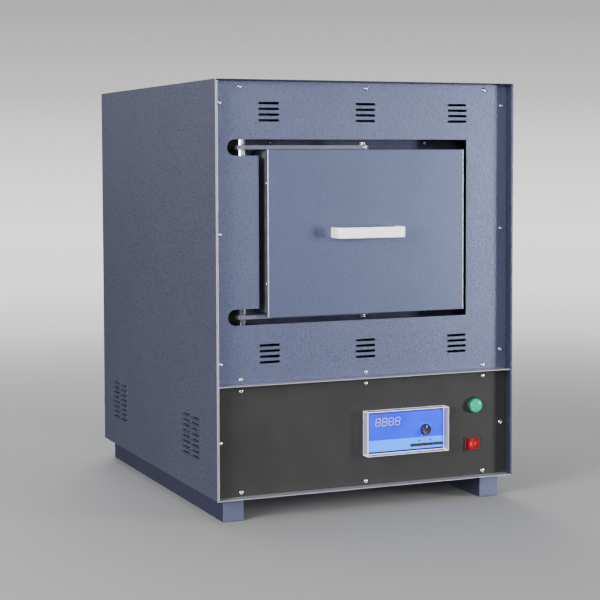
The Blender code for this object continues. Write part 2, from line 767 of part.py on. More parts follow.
def hinge_pin(name, arm_z):
    """Stepped pin: head, journal in the upper ear, collar, journal in the arm, collar, lower journal."""
    middle = arm_z + ARM_THICKNESS / 2
    ear = 18 * MM - BRACKET_SHEET
    arm = ARM_THICKNESS / 2
    profile = [
        (0, ear + 7 * MM), (6.5 * MM, ear + 7 * MM), (8 * MM, ear + 5.5 * MM), (8 * MM, ear + 3.3 * MM),
        (PIN_RADIUS, ear + 3.3 * MM), (PIN_RADIUS, ear - GAP), (COLLAR_RADIUS, ear - GAP),
        (COLLAR_RADIUS, arm + GAP), (PIN_RADIUS, arm + GAP), (PIN_RADIUS, -arm - GAP),
        (COLLAR_RADIUS, -arm - GAP), (COLLAR_RADIUS, -ear + GAP), (PIN_RADIUS, -ear + GAP),
        (PIN_RADIUS, -ear - 6 * MM), (0, -ear - 6 * MM),
    ]
    pin = turned(name, profile, BRIGHT_STEEL, place(HINGE_X, AXIS_Y, middle))
    return pin


def pivot_pin(name, low, high, arm_z, upward):
    """Stud fixed to the door by its flange, running in the arm's eye, with a keeper beyond it."""
    foot, tip = (low, high) if upward else (high, low)
    sign = 1 if upward else -1
    arm_near = arm_z - GAP if upward else arm_z + ARM_THICKNESS + GAP
    arm_far = arm_z + ARM_THICKNESS + GAP if upward else arm_z - GAP
    levels = [
        (0, tip), (5.5 * MM, tip), (7 * MM, tip - sign * 1 * MM), (7 * MM, arm_far), (PIN_RADIUS, arm_far),
        (PIN_RADIUS, arm_near), (10 * MM, arm_near), (10 * MM, foot), (0, foot),
    ]
    middle = arm_z + ARM_THICKNESS / 2
    profile = [(radius, height - middle) for radius, height in levels]
    if not upward:
        profile.reverse()
    return turned(name, profile, BRIGHT_STEEL, place(PIVOT_X, AXIS_Y, middle))


def door_and_arms():
    hinge_bracket("upper_hinge_bracket", UPPER_ARM_Z)
    hinge_bracket("lower_hinge_bracket", LOWER_ARM_Z)
    hinge_pin("upper_hinge_pin", UPPER_ARM_Z)
    hinge_pin("lower_hinge_pin", LOWER_ARM_Z)
    middle = (DOOR_LOW_Z + DOOR_HIGH_Z) / 2
    hinge = axis_point("arm_hinge_axis", place(HINGE_X, AXIS_Y, middle))
    pivot = axis_point("door_pivot_axis", place(PIVOT_X, AXIS_Y, middle))
    hang(hinge, pivot)
    hang(hinge, swing_arm("upper_arm", UPPER_ARM_Z), swing_arm("lower_arm", LOWER_ARM_Z))
    upper_pin = pivot_pin("upper_pivot_pin", BODY_HIGH_Z + GAP, 594.5 * MM, UPPER_ARM_Z, True)
    lower_pin = pivot_pin("lower_pivot_pin", 292 * MM, BODY_LOW_Z - GAP, LOWER_ARM_Z, False)
    hang(pivot, upper_pin, lower_pin)
    hang(pivot, door_cover(), door_body(), door_insulation(), door_gasket(), door_handle())


# ---------------------------------------------------------------- controls


def centred_box(name, x, z, width, height, front_y, back_y, look=None, bevel=0.0, segments=2):
    low = (x - width / 2, front_y, z - height / 2)
    high = (x + width / 2, back_y, z + height / 2)
    return box(name, low, high, look, bevel, segments)


def controller():
    """Panel instrument: coloured face in front of the sheet, electronics case behind it."""
    face = centred_box(
        "controller_face", INSTRUMENT_X, INSTRUMENT_Z, FACE_WIDTH, FACE_HEIGHT,
        FACE_FRONT_Y, PANEL_Y - GAP, BLUE_FACE,
    )
    window = centred_box(
        "controller_window_recess", INSTRUMENT_X - 37 * MM, INSTRUMENT_Z + 17.5 * MM, 54 * MM, 19 * MM,
        FACE_FRONT_Y - 2 * MM, FACE_FRONT_Y + 1 * MM,
    )
    cut(face, window)
    spindle = [(0, 40 * MM), (3.6 * MM, 40 * MM), (3.6 * MM, -40 * MM), (0, -40 * MM)]
    cut(face, turned("knob_bore", spindle, None, place(KNOB_X, FACE_FRONT_Y, KNOB_Z), "-Y", 24))
    case = centred_box(
        "controller_case", INSTRUMENT_X, INSTRUMENT_Z, 136 * MM, 60 * MM,
        PANEL_Y + GAP, PANEL_Y + 95 * MM, BLACK_PLASTIC, 1.5 * MM,
    )
    pocket = [(0, 40 * MM), (4.5 * MM, 40 * MM), (4.5 * MM, 0), (0, 0)]
    cut(case, turned("case_pocket", pocket, None, place(KNOB_X, PANEL_Y + 12 * MM, KNOB_Z), "-Y", 24))


def controller_knob():
    """Setting knob on its spindle."""
    profile = [
        (0, 6 * MM), (8.6 * MM, 6 * MM), (9.4 * MM, 5.2 * MM), (KNOB_RADIUS, 0.3 * MM), (3 * MM, 0.3 * MM),
        (3 * MM, -18 * MM), (0, -18 * MM),
    ]
    knob = turned("controller_knob", profile, GREY_PLASTIC, place(KNOB_X, FACE_FRONT_Y, KNOB_Z), "-Y", 32)
    hang(axis_point("knob_axis", place(KNOB_X, FACE_FRONT_Y, KNOB_Z)), knob)


def controller_lid():
    """Clear dust cover over the instrument, hinged along its top edge."""
    lid = centred_box(
        "controller_lid", INSTRUMENT_X, INSTRUMENT_Z, LID_WIDTH, LID_HEIGHT, 0, LID_BACK_Y, CLEAR_ACRYLIC
    )
    round_edges(lid, 0.8 * MM, 2)
    inside = centred_box(
        "controller_lid_inside", INSTRUMENT_X, INSTRUMENT_Z, LID_WIDTH - 2 * LID_WALL,
        LID_HEIGHT - 2 * LID_WALL, LID_WALL, LID_BACK_Y + 5 * MM,
    )
    cut(lid, inside)
    hang(axis_point("lid_axis", place(INSTRUMENT_X, LID_BACK_Y, INSTRUMENT_Z + LID_HEIGHT / 2)), lid)


def pilot_lamp():
    """Bezel and barrel, with a domed lens in front."""
    body = [
        (0, 4.2 * MM), (12.4 * MM, 4.2 * MM), (14 * MM, 3.2 * MM), (14.5 * MM, 0.3 * MM),
        (10.8 * MM, 0.3 * MM), (10.8 * MM, -34 * MM), (0, -34 * MM),
    ]
    turned("lamp_body", body, BLACK_PLASTIC, place(LAMP_X, PANEL_Y, LAMP_Z), "-Y", 32)
    lens = [
        (0, 13.4 * MM), (5 * MM, 13.1 * MM), (9.4 * MM, 12 * MM), (11.4 * MM, 10 * MM),
        (11.8 * MM, 7 * MM), (11.8 * MM, 4.5 * MM), (0, 4.5 * MM),
    ]
    turned("lamp_lens", lens, GREEN_LENS, place(LAMP_X, PANEL_Y, LAMP_Z), "-Y", 32)


def rocker_switch():
    """Snap-in housing with a rocker that tips about an upright axis."""
    housing = centred_box(
        "rocker_housing", ROCKER_X, ROCKER_Z, 27.6 * MM, 21.6 * MM, 19 * MM, 48 * MM, BLACK_PLASTIC
    )
    bezel = centred_box(
        "rocker_bezel", ROCKER_X, ROCKER_Z, 31 * MM, 25.6 * MM, 17.8 * MM, PANEL_Y - GAP
    )
    join(housing, round_edges(bezel, 0.6 * MM, 2))
    cut(housing, centred_box("rocker_well", ROCKER_X, ROCKER_Z, 24.8 * MM, 19.8 * MM, 10 * MM, 36 * MM))
    outline = [
        (-10.8 * MM, -10.4 * MM), (-5.5 * MM, -9.2 * MM), (0, -8.6 * MM), (5.5 * MM, -9.2 * MM),
        (10.8 * MM, -10.4 * MM), (10.8 * MM, -2 * MM), (6 * MM, 4 * MM), (-6 * MM, 4 * MM),
        (-10.8 * MM, -2 * MM),
    ]
    height = 19 * MM
    rocker = flat_curve("rocker_key", [outline], height, KILN)
    rocker.location = place(ROCKER_X, ROCKER_AXIS_Y, ROCKER_Z)
    rocker.rotation_euler = (0, 0, ROCKER_TILT)
    finish(rocker, RED_PLASTIC)
    hang(axis_point("rocker_axis", place(ROCKER_X, ROCKER_AXIS_Y, ROCKER_Z)), rocker)


def power_module():
    """Finned heat sink with the power switching block on it."""
    left, floor = -120 * MM, SHEET + GAP
    fins = 9
    pitch = 11 * MM
    fin = 2.4 * MM
    height = 46 * MM
    outline = [(left, floor)]
    outline.append((left + (fins - 1) * pitch + fin, floor))
    for index in reversed(range(fins)):
        x = left + index * pitch
        outline += [(x + fin, floor + height), (x, floor + height)]
        if index:
            outline += [(x, floor + 6 * MM), (x - pitch + fin, floor + 6 * MM)]
    upright_sheet("heat_sink", [outline], 300 * MM, 110 * MM, ALUMINIUM)
    low = (left + 12 * MM, 412 * MM, floor)
    box("power_regulator", low, (left + 74 * MM, 470 * MM, floor + 42 * MM), BLACK_PLASTIC, 1.5 * MM)


def terminal_block():
    """Row of screw terminals between raised barriers."""
    left, floor = -225 * MM, SHEET + GAP
    ways = 4
    pitch = 15 * MM
    wall = 3 * MM
    outline = [(left, floor), (left + ways * pitch + wall, floor)]
    for index in reversed(range(ways + 1)):
        x = left + index * pitch
        outline += [(x + wall, floor + 26 * MM), (x, floor + 26 * MM)]
        if index:
            outline += [(x, floor + 15 * MM), (x - pitch + wall, floor + 15 * MM)]
    upright_sheet("terminal_block", [outline], 560 * MM, 34 * MM, CREAM_PLASTIC)


def cable_gland():
    """Compression gland in the rear panel where a supply cable would enter."""
    profile = [
        (0, -5 * MM), (6 * MM, -5 * MM), (6 * MM, 16 * MM), (8 * MM, 18 * MM), (11 * MM, 17 * MM),
        (13.5 * MM, 12 * MM), (13.5 * MM, 7 * MM), (15 * MM, 7 * MM), (15 * MM, 0.3 * MM),
        (10 * MM, 0.3 * MM), (10 * MM, -16 * MM), (0, -16 * MM),
    ]
    y = REAR_PANEL_Y + SHEET
    turned("cable_gland", profile, BLACK_PLASTIC, place(-200 * MM, y, 62 * MM), "+Y", 24)


def controls():
    controller()
    controller_knob()
    controller_lid()
    pilot_lamp()
    rocker_switch()
    power_module()
    terminal_block()
    cable_gland()


casing()
chamber()
door_and_arms()
controls()
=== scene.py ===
"""Looks for the pottery kiln: paint, steel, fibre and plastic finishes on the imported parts, and the
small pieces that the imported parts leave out, such as screws, heating coils and the display's figures.

Lengths are in metres.  place() takes casing coordinates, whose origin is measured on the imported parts:
x from the centre line, y back from the front rim and z up from the casing's underside.
"""

from math import cos, pi, radians, sin

import bmesh
import bpy
from mathutils import Matrix, Vector


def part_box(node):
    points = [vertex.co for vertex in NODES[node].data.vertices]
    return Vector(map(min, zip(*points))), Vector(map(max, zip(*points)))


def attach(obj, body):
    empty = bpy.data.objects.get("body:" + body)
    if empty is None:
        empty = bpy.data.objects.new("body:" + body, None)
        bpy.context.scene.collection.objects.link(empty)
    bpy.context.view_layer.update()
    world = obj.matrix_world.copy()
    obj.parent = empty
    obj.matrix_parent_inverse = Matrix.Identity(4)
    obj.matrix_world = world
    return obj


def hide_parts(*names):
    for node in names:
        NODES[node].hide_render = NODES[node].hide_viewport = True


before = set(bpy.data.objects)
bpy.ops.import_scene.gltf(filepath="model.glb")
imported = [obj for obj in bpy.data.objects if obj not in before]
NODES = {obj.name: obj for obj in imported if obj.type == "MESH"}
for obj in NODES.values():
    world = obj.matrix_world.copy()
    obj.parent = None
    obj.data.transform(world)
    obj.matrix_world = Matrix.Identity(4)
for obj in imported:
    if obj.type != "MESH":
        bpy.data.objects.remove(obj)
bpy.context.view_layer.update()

MM = 0.001

PANEL_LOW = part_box("left_side_panel")[0]
FRONT_Y = PANEL_LOW.y
SIDE_POINTS = [vertex.co for vertex in NODES["right_side_panel"].data.vertices]
CASING_HALF_WIDTH = max(point.x for point in SIDE_POINTS if point.y < FRONT_Y + MM)
UNDERSIDE_Z = PANEL_LOW.z
SHEET_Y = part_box("front_panel")[0].y - FRONT_Y
REAR_SHEET_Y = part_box("rear_panel")[1].y - FRONT_Y


def place(x, y, z):
    """World position of a point in casing coordinates."""
    return Vector((x, FRONT_Y + y, UNDERSIDE_Z + z))


# -------- node materials


class Finish:
    """A node material that is built up round its Principled shader."""

    def __init__(self, name, colour, **numbers):
        self.material = bpy.data.materials.new(name)
        self.material.use_nodes = True
        self.tree = self.material.node_tree
        self.shader = self.tree.nodes["Principled BSDF"]
        self.base = (*colour, 1)
        self.shader.inputs["Base Color"].default_value = self.base
        for socket, value in numbers.items():
            self.set(socket.replace("_", " "), value)
        self.point = self.node("ShaderNodeTexCoord").outputs["Object"]
        self.bump = None

    def set(self, socket, value):
        self.shader.inputs[socket].default_value = value

    def node(self, kind, inputs=None, **settings):
        made = self.tree.nodes.new(kind)
        for name, value in settings.items():
            setattr(made, name, value)
        for socket, value in (inputs or {}).items():
            if isinstance(value, bpy.types.NodeSocket):
                self.tree.links.new(value, made.inputs[socket])
            else:
                made.inputs[socket].default_value = value
        return made

    def link(self, output, socket):
        self.tree.links.new(output, self.shader.inputs[socket])

    def stretched(self, scale):
        """The object's coordinates, drawn out by a different factor along each axis."""
        mapping = self.node("ShaderNodeMapping", {"Vector": self.point, "Scale": scale})
        return mapping.outputs["Vector"]

    def noise(self, scale, detail=2.0, roughness=0.5, distortion=0.0, vector=None):
        inputs = {
            "Vector": vector or self.point,
            "Scale": scale,
            "Detail": detail,
            "Roughness": roughness,
            "Distortion": distortion,
        }
        return self.node("ShaderNodeTexNoise", inputs).outputs["Fac"]

    def cells(self, scale, feature="SMOOTH_F1", output="Distance", vector=None):
        inputs = {"Vector": vector or self.point, "Scale": scale, "Randomness": 1.0}
        return self.node("ShaderNodeTexVoronoi", inputs, feature=feature).outputs[output]

    def spread(self, value, low, high, new_low=0.0, new_high=1.0):
        """Maps a value from one range to another, clamped."""
        inputs = {"Value": value, "From Min": low, "From Max": high, "To Min": new_low, "To Max": new_high}
        return self.node("ShaderNodeMapRange", inputs).outputs["Result"]

    def combine(self, first, second, operation="ADD"):
        """Two values added, or combined by another of the Math node's operations."""
        return self.node("ShaderNodeMath", {0: first, 1: second}, operation=operation).outputs["Value"]

    def mix(self, amount, first, second):
        """Blends two colours, given as colours or as sockets."""
        inputs = {"Factor": amount, 6: as_colour(first), 7: as_colour(second)}
        return self.node("ShaderNodeMix", inputs, data_type="RGBA").outputs[2]

    def ramp(self, value, stops, top):
        """A grey scale through (position, level) stops, with each level as a share of the top one."""
        made = self.node("ShaderNodeValToRGB", {"Fac": value})
        set_stops(made.color_ramp, [(position, level / top) for position, level in stops])
        return made.outputs["Color"]

    def shade(self, factor):
        """The base colour made lighter or darker."""
        return tuple(min(1.0, channel * factor) for channel in self.base[:3])

    def tone(self, value, darker, lighter, low=0.3, high=0.7):
        """The base colour, made darker where a value is low and lighter where it is high."""
        return self.mix(self.spread(value, low, high), self.shade(darker), self.shade(lighter))

    def coloured(self, output):
        self.link(output, "Base Color")

    def roughened(self, value, least, most, low=0.3, high=0.7):
        """Lets the roughness follow a value, between two levels."""
        self.link(self.spread(value, low, high, least, most), "Roughness")

    def emboss(self, height, distance):
        """Adds relief.  Later calls lie on top of earlier ones."""
        inputs = {"Height": height, "Distance": distance, "Strength": 1.0}
        if self.bump:
            inputs["Normal"] = self.bump
        self.bump = self.node("ShaderNodeBump", inputs).outputs["Normal"]
        self.link(self.bump, "Normal")

    def axis(self, name):
        return self.node("ShaderNodeSeparateXYZ", {"Vector": self.point}).outputs[name]


def as_colour(value):
    if isinstance(value, bpy.types.NodeSocket):
        return value
    return (*value[:3], 1)


def set_stops(ramp, stops, tint=(1, 1, 1)):
    """Puts (position, level) stops on a colour ramp, each level multiplied by the tint."""
    while len(ramp.elements) < len(stops):
        ramp.elements.new(0.5)
    for element, (position, level) in zip(ramp.elements, stops):
        element.position = position
        element.color = (level * tint[0], level * tint[1], level * tint[2], 1)


SPECKLED_ABOVE = 0.15
SPECK_DEPTH = 0.5


def hammertone(name, colour, grain, relief, sparkle=0.2, edge=None, edge_colour=None):
    """Blue-grey hammered enamel: dimples with raised borders, and metal flake that shows in them.
    edge is a function that gives a mask for the stretch that takes the edge colour, which is a painted
    highlight on some parts and painted shade on others.
    Dark specks come only with a sparkle above SPECKLED_ABOVE."""
    finish = Finish(name, colour, Roughness=0.36, Metallic=0.5, Coat_Weight=0.12, Coat_Roughness=0.2)
    bend = finish.noise(0.55 / grain, detail=1.0)
    warped = finish.node("ShaderNodeVectorMath", {0: finish.point, 1: finish.point}, operation="ADD")
    drift = finish.node("ShaderNodeMapRange", {"Value": bend, "To Min": -grain, "To Max": grain})
    finish.tree.links.new(drift.outputs["Result"], warped.inputs[1])
    dimple = finish.cells(1 / grain, vector=warped.outputs["Vector"])
    fleck = finish.noise(2.6 / grain, detail=2.0)
    patch = finish.noise(9.0, detail=3.0)
    flake = finish.tone(dimple, 1 + sparkle, 1 - sparkle, 0.1, 0.75)
    flecked = finish.mix(finish.spread(fleck, 0.45, 0.75, 0.0, 0.45), flake, finish.shade(1.6))
    patchy = finish.mix(finish.spread(patch, 0.35, 0.7, 0.0, 0.22), flecked, finish.shade(0.8))
    specks = finish.cells(0.16 / grain, feature="F1")
    speck_depth = SPECK_DEPTH if sparkle > SPECKLED_ABOVE else 0.0
    uneven = finish.mix(finish.spread(specks, 0.13, 0.06, 0.0, speck_depth), patchy, finish.shade(0.35))
    finish.coloured(finish.mix(edge(finish), uneven, edge_colour) if edge else uneven)
    finish.roughened(fleck, 0.3, 0.46)
    finish.emboss(dimple, relief)
    finish.emboss(fleck, relief * 0.35)
    return finish.material


def in_front_of(depth):
    """A function that gives a mask for everything less than a depth back from the casing's front rim."""
    limit = FRONT_Y + depth
    blur = 0.1 * MM

    def mask(finish):
        return finish.spread(finish.axis("Y"), limit + blur, limit - blur)

    return mask


def left_rim_highlight(finish):
    """A mask for the painted highlight on the left side's front rim, weaker along a seam down the rim's
    middle.
    """
    rim_width = 4.0 * MM
    middle = rim_width / 2 - CASING_HALF_WIDTH
    across = finish.combine(finish.combine(finish.axis("X"), middle, "SUBTRACT"), 0.0, "ABSOLUTE")
    seam = finish.spread(across, 0.35 * MM, 0.7 * MM, 0.35, 1.0)
    return finish.combine(in_front_of(0.7 * MM)(finish), seam, "MULTIPLY")


def right_inside(finish):
    """A mask for the shaded inner face and lip of the right side's front rim."""
    rim_depth = 22 * MM
    outer = CASING_HALF_WIDTH
    inner = finish.spread(finish.axis("X"), outer - 0.4 * MM, outer - 0.8 * MM)
    return finish.combine(in_front_of(rim_depth)(finish), inner, "MULTIPLY")


def skid_front(finish):
    """A mask for the skids' front ends, which keep the lighter enamel, while the skids' sides take a
    painted shade.
    """
    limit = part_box("left_skid")[0].y
    return finish.spread(finish.axis("Y"), limit + 1.5 * MM, limit + 1.0 * MM)


def door_edge_highlights(finish):
    """A mask for the folded corners at the left and right of the door's cover, which take a painted
    highlight.
    """
    low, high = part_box("door_cover")
    out = finish.combine(finish.axis("X"), 0.0, "ABSOLUTE")
    side = finish.spread(out, high.x - 1.9 * MM, high.x - 1.5 * MM)
    front = finish.spread(finish.axis("Y"), low.y + 1.0 * MM, low.y + 0.7 * MM)
    return finish.combine(side, front, "MULTIPLY")


def powder_coat(name, colour):
    """Fine-textured matt coating."""
    roughness = 0.5
    finish = Finish(name, colour, Roughness=roughness, Specular_IOR_Level=0.2)
    grain = finish.noise(900, detail=3.0, roughness=0.65)
    cloud = finish.noise(14, detail=3.0)
    finish.coloured(finish.tone(cloud, 0.88, 1.12))
    finish.roughened(grain, roughness - 0.08, roughness + 0.1)
    finish.emboss(grain, 0.00012)
    return finish.material


def steel(name, colour, roughness, brushing=(40, 40, 2200)):
    """Bright metal with fine lines drawn along one axis."""
    finish = Finish(name, colour, Roughness=roughness, Metallic=1.0)
    lines = finish.noise(1.0, detail=3.0, vector=finish.stretched(brushing))
    haze = finish.noise(60, detail=3.0)
    finish.coloured(finish.mix(finish.spread(haze, 0.35, 0.7, 0.0, 0.4), colour, finish.shade(0.72)))
    finish.roughened(lines, roughness * 0.7, roughness * 1.5)
    finish.emboss(lines, 0.00003)
    return finish.material


def galvanised(name, colour):
    """Zinc coating with its frosted spangles."""
    finish = Finish(name, colour, Roughness=0.42, Metallic=0.85)
    spangle = finish.cells(95, feature="F1", output="Color")
    crystal = finish.node("ShaderNodeSeparateColor", {"Color": spangle}).outputs["Red"]
    grain = finish.noise(400, detail=2.0)
    finish.coloured(finish.tone(crystal, 0.88, 1.08, 0.0, 1.0))
    finish.roughened(crystal, 0.36, 0.48, 0.0, 1.0)
    finish.emboss(grain, 0.00004)
    return finish.material


def fibre(name, colour, scorch):
    """Soft ceramic fibre: a felted surface, browned a little where it meets the heat."""
    finish = Finish(name, colour, Roughness=0.95, Sheen_Weight=0.3, Specular_IOR_Level=0.1)
    felt = finish.noise(1.0, detail=5.0, roughness=0.7, vector=finish.stretched((220, 700, 220)))
    tufts = finish.noise(90, detail=4.0, roughness=0.65)
    stain = finish.noise(11, detail=4.0, distortion=0.6)
    tone = finish.tone(tufts, 0.84, 1.06)
    brown = (colour[0] * 0.72, colour[1] * 0.56, colour[2] * 0.38)
    finish.coloured(finish.mix(finish.spread(stain, 0.5, 0.78, 0.0, scorch), tone, brown))
    finish.emboss(tufts, 0.0006)
    finish.emboss(felt, 0.0003)
    return finish.material


def cordierite(name, colour):
    """Pressed refractory plate with dark grog specks."""
    finish = Finish(name, colour, Roughness=0.85, Specular_IOR_Level=0.25)
    speck = finish.cells(520, feature="F1")
    grit = finish.noise(260, detail=4.0, roughness=0.7)
    worn = finish.noise(16, detail=3.0)
    tone = finish.tone(worn, 0.82, 1.1, 0.35)
    finish.coloured(finish.mix(finish.spread(speck, 0.12, 0.3, 0.75, 0.0), tone, finish.shade(0.35)))
    finish.emboss(grit, 0.0003)
    return finish.material


def oxidised_wire(name, colour):
    """Resistance alloy dulled by firing."""
    finish = Finish(name, colour, Roughness=0.6, Metallic=0.7)
    scale = finish.noise(500, detail=4.0)
    bloom = finish.noise(45, detail=2.0)
    finish.coloured(finish.mix(finish.spread(bloom, 0.35, 0.65), finish.shade(0.7), (0.42, 0.36, 0.3)))
    finish.roughened(scale, 0.5, 0.8)
    finish.emboss(scale, 0.00008)
    return finish.material


def plastic(name, colour, roughness):
    """Moulded plastic with a faint spark-eroded texture and handling haze."""
    finish = Finish(name, colour, Roughness=roughness)
    texture = finish.noise(1600, detail=2.0)
    haze = finish.noise(35, detail=3.0)
    finish.coloured(finish.tone(haze, 0.9, 1.1, 0.35))
    finish.roughened(haze, roughness * 0.85, roughness * 1.25)
    finish.emboss(texture, 0.00003)
    return finish.material


def lacquer(name, colour):
    """Glossy stoved lacquer with slight orange peel, and a painted glow, standing for the light on the
    handle, that grows towards the handle's front.
    """
    finish = Finish(name, colour, Roughness=0.22, Coat_Weight=0.6, Coat_Roughness=0.08)
    peel = finish.noise(420, detail=1.0)
    smudge = finish.noise(48, detail=3.0)
    finish.coloured(finish.mix(finish.spread(smudge, 0.45, 0.75, 0.0, 0.5), colour, finish.shade(0.94)))
    finish.roughened(smudge, 0.16, 0.32, 0.35)
    low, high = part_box("door_handle")
    depth = finish.spread(finish.axis("Y"), high.y, low.y + 4 * MM)
    # Painted light: emission that stands for the light on the handle, strongest at its front.
    finish.link(finish.mix(depth, (0, 0, 0), (1, 1, 1)), "Emission Color")
    finish.set("Emission Strength", 0.8)
    finish.emboss(peel, 0.00006)
    return finish.material


def cast_metal(name, colour):
    """Sand-cast alloy, grainy with a satin skin."""
    finish = Finish(name, colour, Roughness=0.5, Metallic=0.9)
    grain = finish.noise(700, detail=4.0, roughness=0.7)
    stain = finish.noise(55, detail=3.0)
    finish.coloured(finish.tone(stain, 0.78, 1.1, 0.35))
    finish.roughened(grain, 0.38, 0.62)
    finish.emboss(grain, 0.00015)
    return finish.material


def acrylic(name):
    """Clear moulded cover: nearly invisible face on, with a faint milky wall and folded edges. The walls
    take a faint painted blue glow and the edges a bright painted highlight, both given as emission.
    """
    finish = Finish(name, (0.86, 0.78, 0.82), Roughness=0.06, IOR=1.45, Specular_IOR_Level=0.4)
    low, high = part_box("controller_lid")
    near = []
    for axis, start, end in (("X", low.x, high.x), ("Y", low.y, high.y), ("Z", low.z, high.z)):
        offset = finish.combine(finish.axis(axis), (start + end) / 2, "SUBTRACT")
        out = finish.combine(offset, 0.0, "ABSOLUTE")
        reach = (end - start) / 2
        near.append(finish.spread(out, reach - 1.5 * MM, reach - 0.9 * MM))
    sides = finish.combine(near[0], near[2], "MAXIMUM")
    corners = finish.combine(near[0], near[2], "MULTIPLY")
    edges = finish.combine(finish.combine(sides, near[1], "MULTIPLY"), corners, "MAXIMUM")
    wisps = finish.spread(finish.noise(30, detail=3.0), 0.3, 0.7)
    walls = finish.spread(sides, 0.0, 1.0, 0.002, 0.42)
    veil = finish.combine(walls, finish.spread(edges, 0.0, 1.0, 0.0, 0.6))
    finish.link(finish.combine(veil, finish.spread(wisps, 0.0, 1.0, 0.0, 0.004)), "Alpha")
    finish.roughened(wisps, 0.04, 0.12, 0.0, 1.0)
    finish.coloured(finish.mix(sides, (0.0, 0.1, 0.6), finish.base))
    # Painted highlight on the folded edges and a faint painted blue glow on the walls, given as emission.
    finish.link(finish.mix(edges, (0.06, 0.1, 0.22), (0.8, 0.68, 0.74)), "Emission Color")
    finish.set("Emission Strength", 0.9)
    return finish.material


def instrument_face(name, split_z):
    """Backlit front of the controller: royal blue above, pale cyan below."""
    royal, cyan = (0.0, 0.005, 0.62), (0.0, 0.19, 1.1)
    finish = Finish(name, royal, Roughness=0.5, Specular_IOR_Level=0.2)
    height = finish.axis("Z")
    lower = finish.spread(height, split_z + 0.25 * MM, split_z - 0.25 * MM)
    cloud = finish.noise(26, detail=2.0)
    upper = finish.mix(finish.spread(cloud, 0.3, 0.7), royal, (0.0, 0.025, 0.85))
    pattern = finish.mix(lower, upper, cyan)
    finish.coloured(finish.mix(lower, (0.0, 0.01, 0.2), (0.0, 0.1, 0.3)))
    finish.link(pattern, "Emission Color")
    finish.set("Emission Strength", 2.6)
    finish.emboss(finish.noise(1500), 0.00002)
    return finish.material


def glowing(name, colour, strength, roughness=0.25, core=None, dark=None):
    """A lit lens, brighter where it is seen face on than at its rim."""
    finish = Finish(name, colour, Roughness=roughness, Specular_IOR_Level=0.15, Coat_Weight=0.04)
    finish.set("Coat Roughness", 0.05)
    rim = finish.node("ShaderNodeLayerWeight", {"Blend": 0.5}).outputs["Facing"]
    ripple = finish.noise(240, detail=2.0)
    lit = finish.mix(finish.spread(rim, 0.25, 0.85), core or colour, dark or finish.shade(0.25))
    dulled = finish.spread(ripple, 0.3, 0.7, 0.0, 0.3)
    finish.link(finish.mix(dulled, lit, finish.shade(0.7)), "Emission Color")
    finish.set("Emission Strength", strength)
    finish.emboss(ripple, 0.00008)
    return finish.material


def lit_rocker(name, colour, spots):
    """Translucent red key with its lamps showing as soft spots."""
    finish = Finish(name, colour, Roughness=0.25, Specular_IOR_Level=0.3, Coat_Weight=0.08)
    finish.set("Coat Roughness", 0.05)
    glow = None
    for spot in spots:
        far = finish.node("ShaderNodeVectorMath", {0: finish.point, 1: spot}, operation="DISTANCE")
        near = finish.spread(far.outputs["Value"], 5.5 * MM, 1.2 * MM)
        glow = finish.combine(glow, near, "MAXIMUM") if glow else near
    texture = finish.noise(900, detail=2.0)
    finish.link(finish.mix(glow, (0.22, 0.0, 0.003), (1.5, 0.12, 0.04)), "Emission Color")
    finish.coloured(finish.mix(finish.spread(texture, 0.3, 0.7), colour, finish.shade(0.8)))
    finish.set("Emission Strength", 0.8)
    finish.emboss(texture, 0.00004)
    return finish.material


def rope(name, colour):
    """Fibre yarn, a little sooty."""
    finish = Finish(name, colour, Roughness=1.0, Sheen_Weight=0.4, Specular_IOR_Level=0.1)
    yarn = finish.noise(1100, detail=3.0, roughness=0.7)
    soot = finish.noise(30, detail=3.0)
    tone = finish.tone(yarn, 0.75, 1.08)
    finish.coloured(finish.mix(finish.spread(soot, 0.45, 0.75, 0.0, 0.4), tone, (0.42, 0.36, 0.28)))
    finish.emboss(yarn, 0.0003)
    return finish.material


# Colours
ENAMEL = (0.105, 0.12, 0.208)
DOOR_ENAMEL = (0.098, 0.118, 0.208)
SIDE_ENAMEL = (0.119, 0.126, 0.192)
SKID_ENAMEL = (0.13, 0.148, 0.245)
ARM_ENAMEL = (0.15, 0.152, 0.205)
# Painted highlight for rims, ledge fronts and door corners that catch the light
PAINTED_HIGHLIGHT_EDGE = (0.5, 0.48, 0.56)
# Painted shade for the top panel's front edge and the underside of its lip
PAINTED_SHADE_EDGE = (0.03, 0.035, 0.06)
SHADED_EDGE = (0.05, 0.055, 0.095)
SHADED_SKID = (0.062, 0.065, 0.115)

SIDE_GRAIN = 3.0 * MM
SIDE_RELIEF = 0.3 * MM
SIDE_SPARKLE = 0.35

# Finishes
CASING_PAINT = hammertone("casing_enamel", ENAMEL, 2.6 * MM, 0.26 * MM)
RIGHT_PAINT = hammertone(
    "right_side_enamel", SIDE_ENAMEL, SIDE_GRAIN, SIDE_RELIEF, SIDE_SPARKLE, right_inside, SHADED_EDGE
)
# The left side's front rim takes a painted highlight.
LEFT_PAINT = hammertone(
    "left_side_enamel", SIDE_ENAMEL, SIDE_GRAIN, SIDE_RELIEF, SIDE_SPARKLE, left_rim_highlight, PAINTED_HIGHLIGHT_EDGE
)
# The top panel's front edge takes painted shade.
TOP_PAINT = hammertone("top_enamel", ENAMEL, 2.7 * MM, 0.16 * MM, 0.2, in_front_of(1.2 * MM), PAINTED_SHADE_EDGE)
# The front strip of each ledge takes a painted highlight.
LEDGE_PAINT = hammertone("ledge_enamel", ENAMEL, 2.6 * MM, 0.1 * MM, 0.1, in_front_of(21 * MM), PAINTED_HIGHLIGHT_EDGE)
# The skids' sides take painted shade, and their front ends a lighter, lit copy of the enamel.
SKID_PAINT = hammertone("skid_enamel", SHADED_SKID, 3.0 * MM, 0.2 * MM, 0.2, skid_front, SKID_ENAMEL)
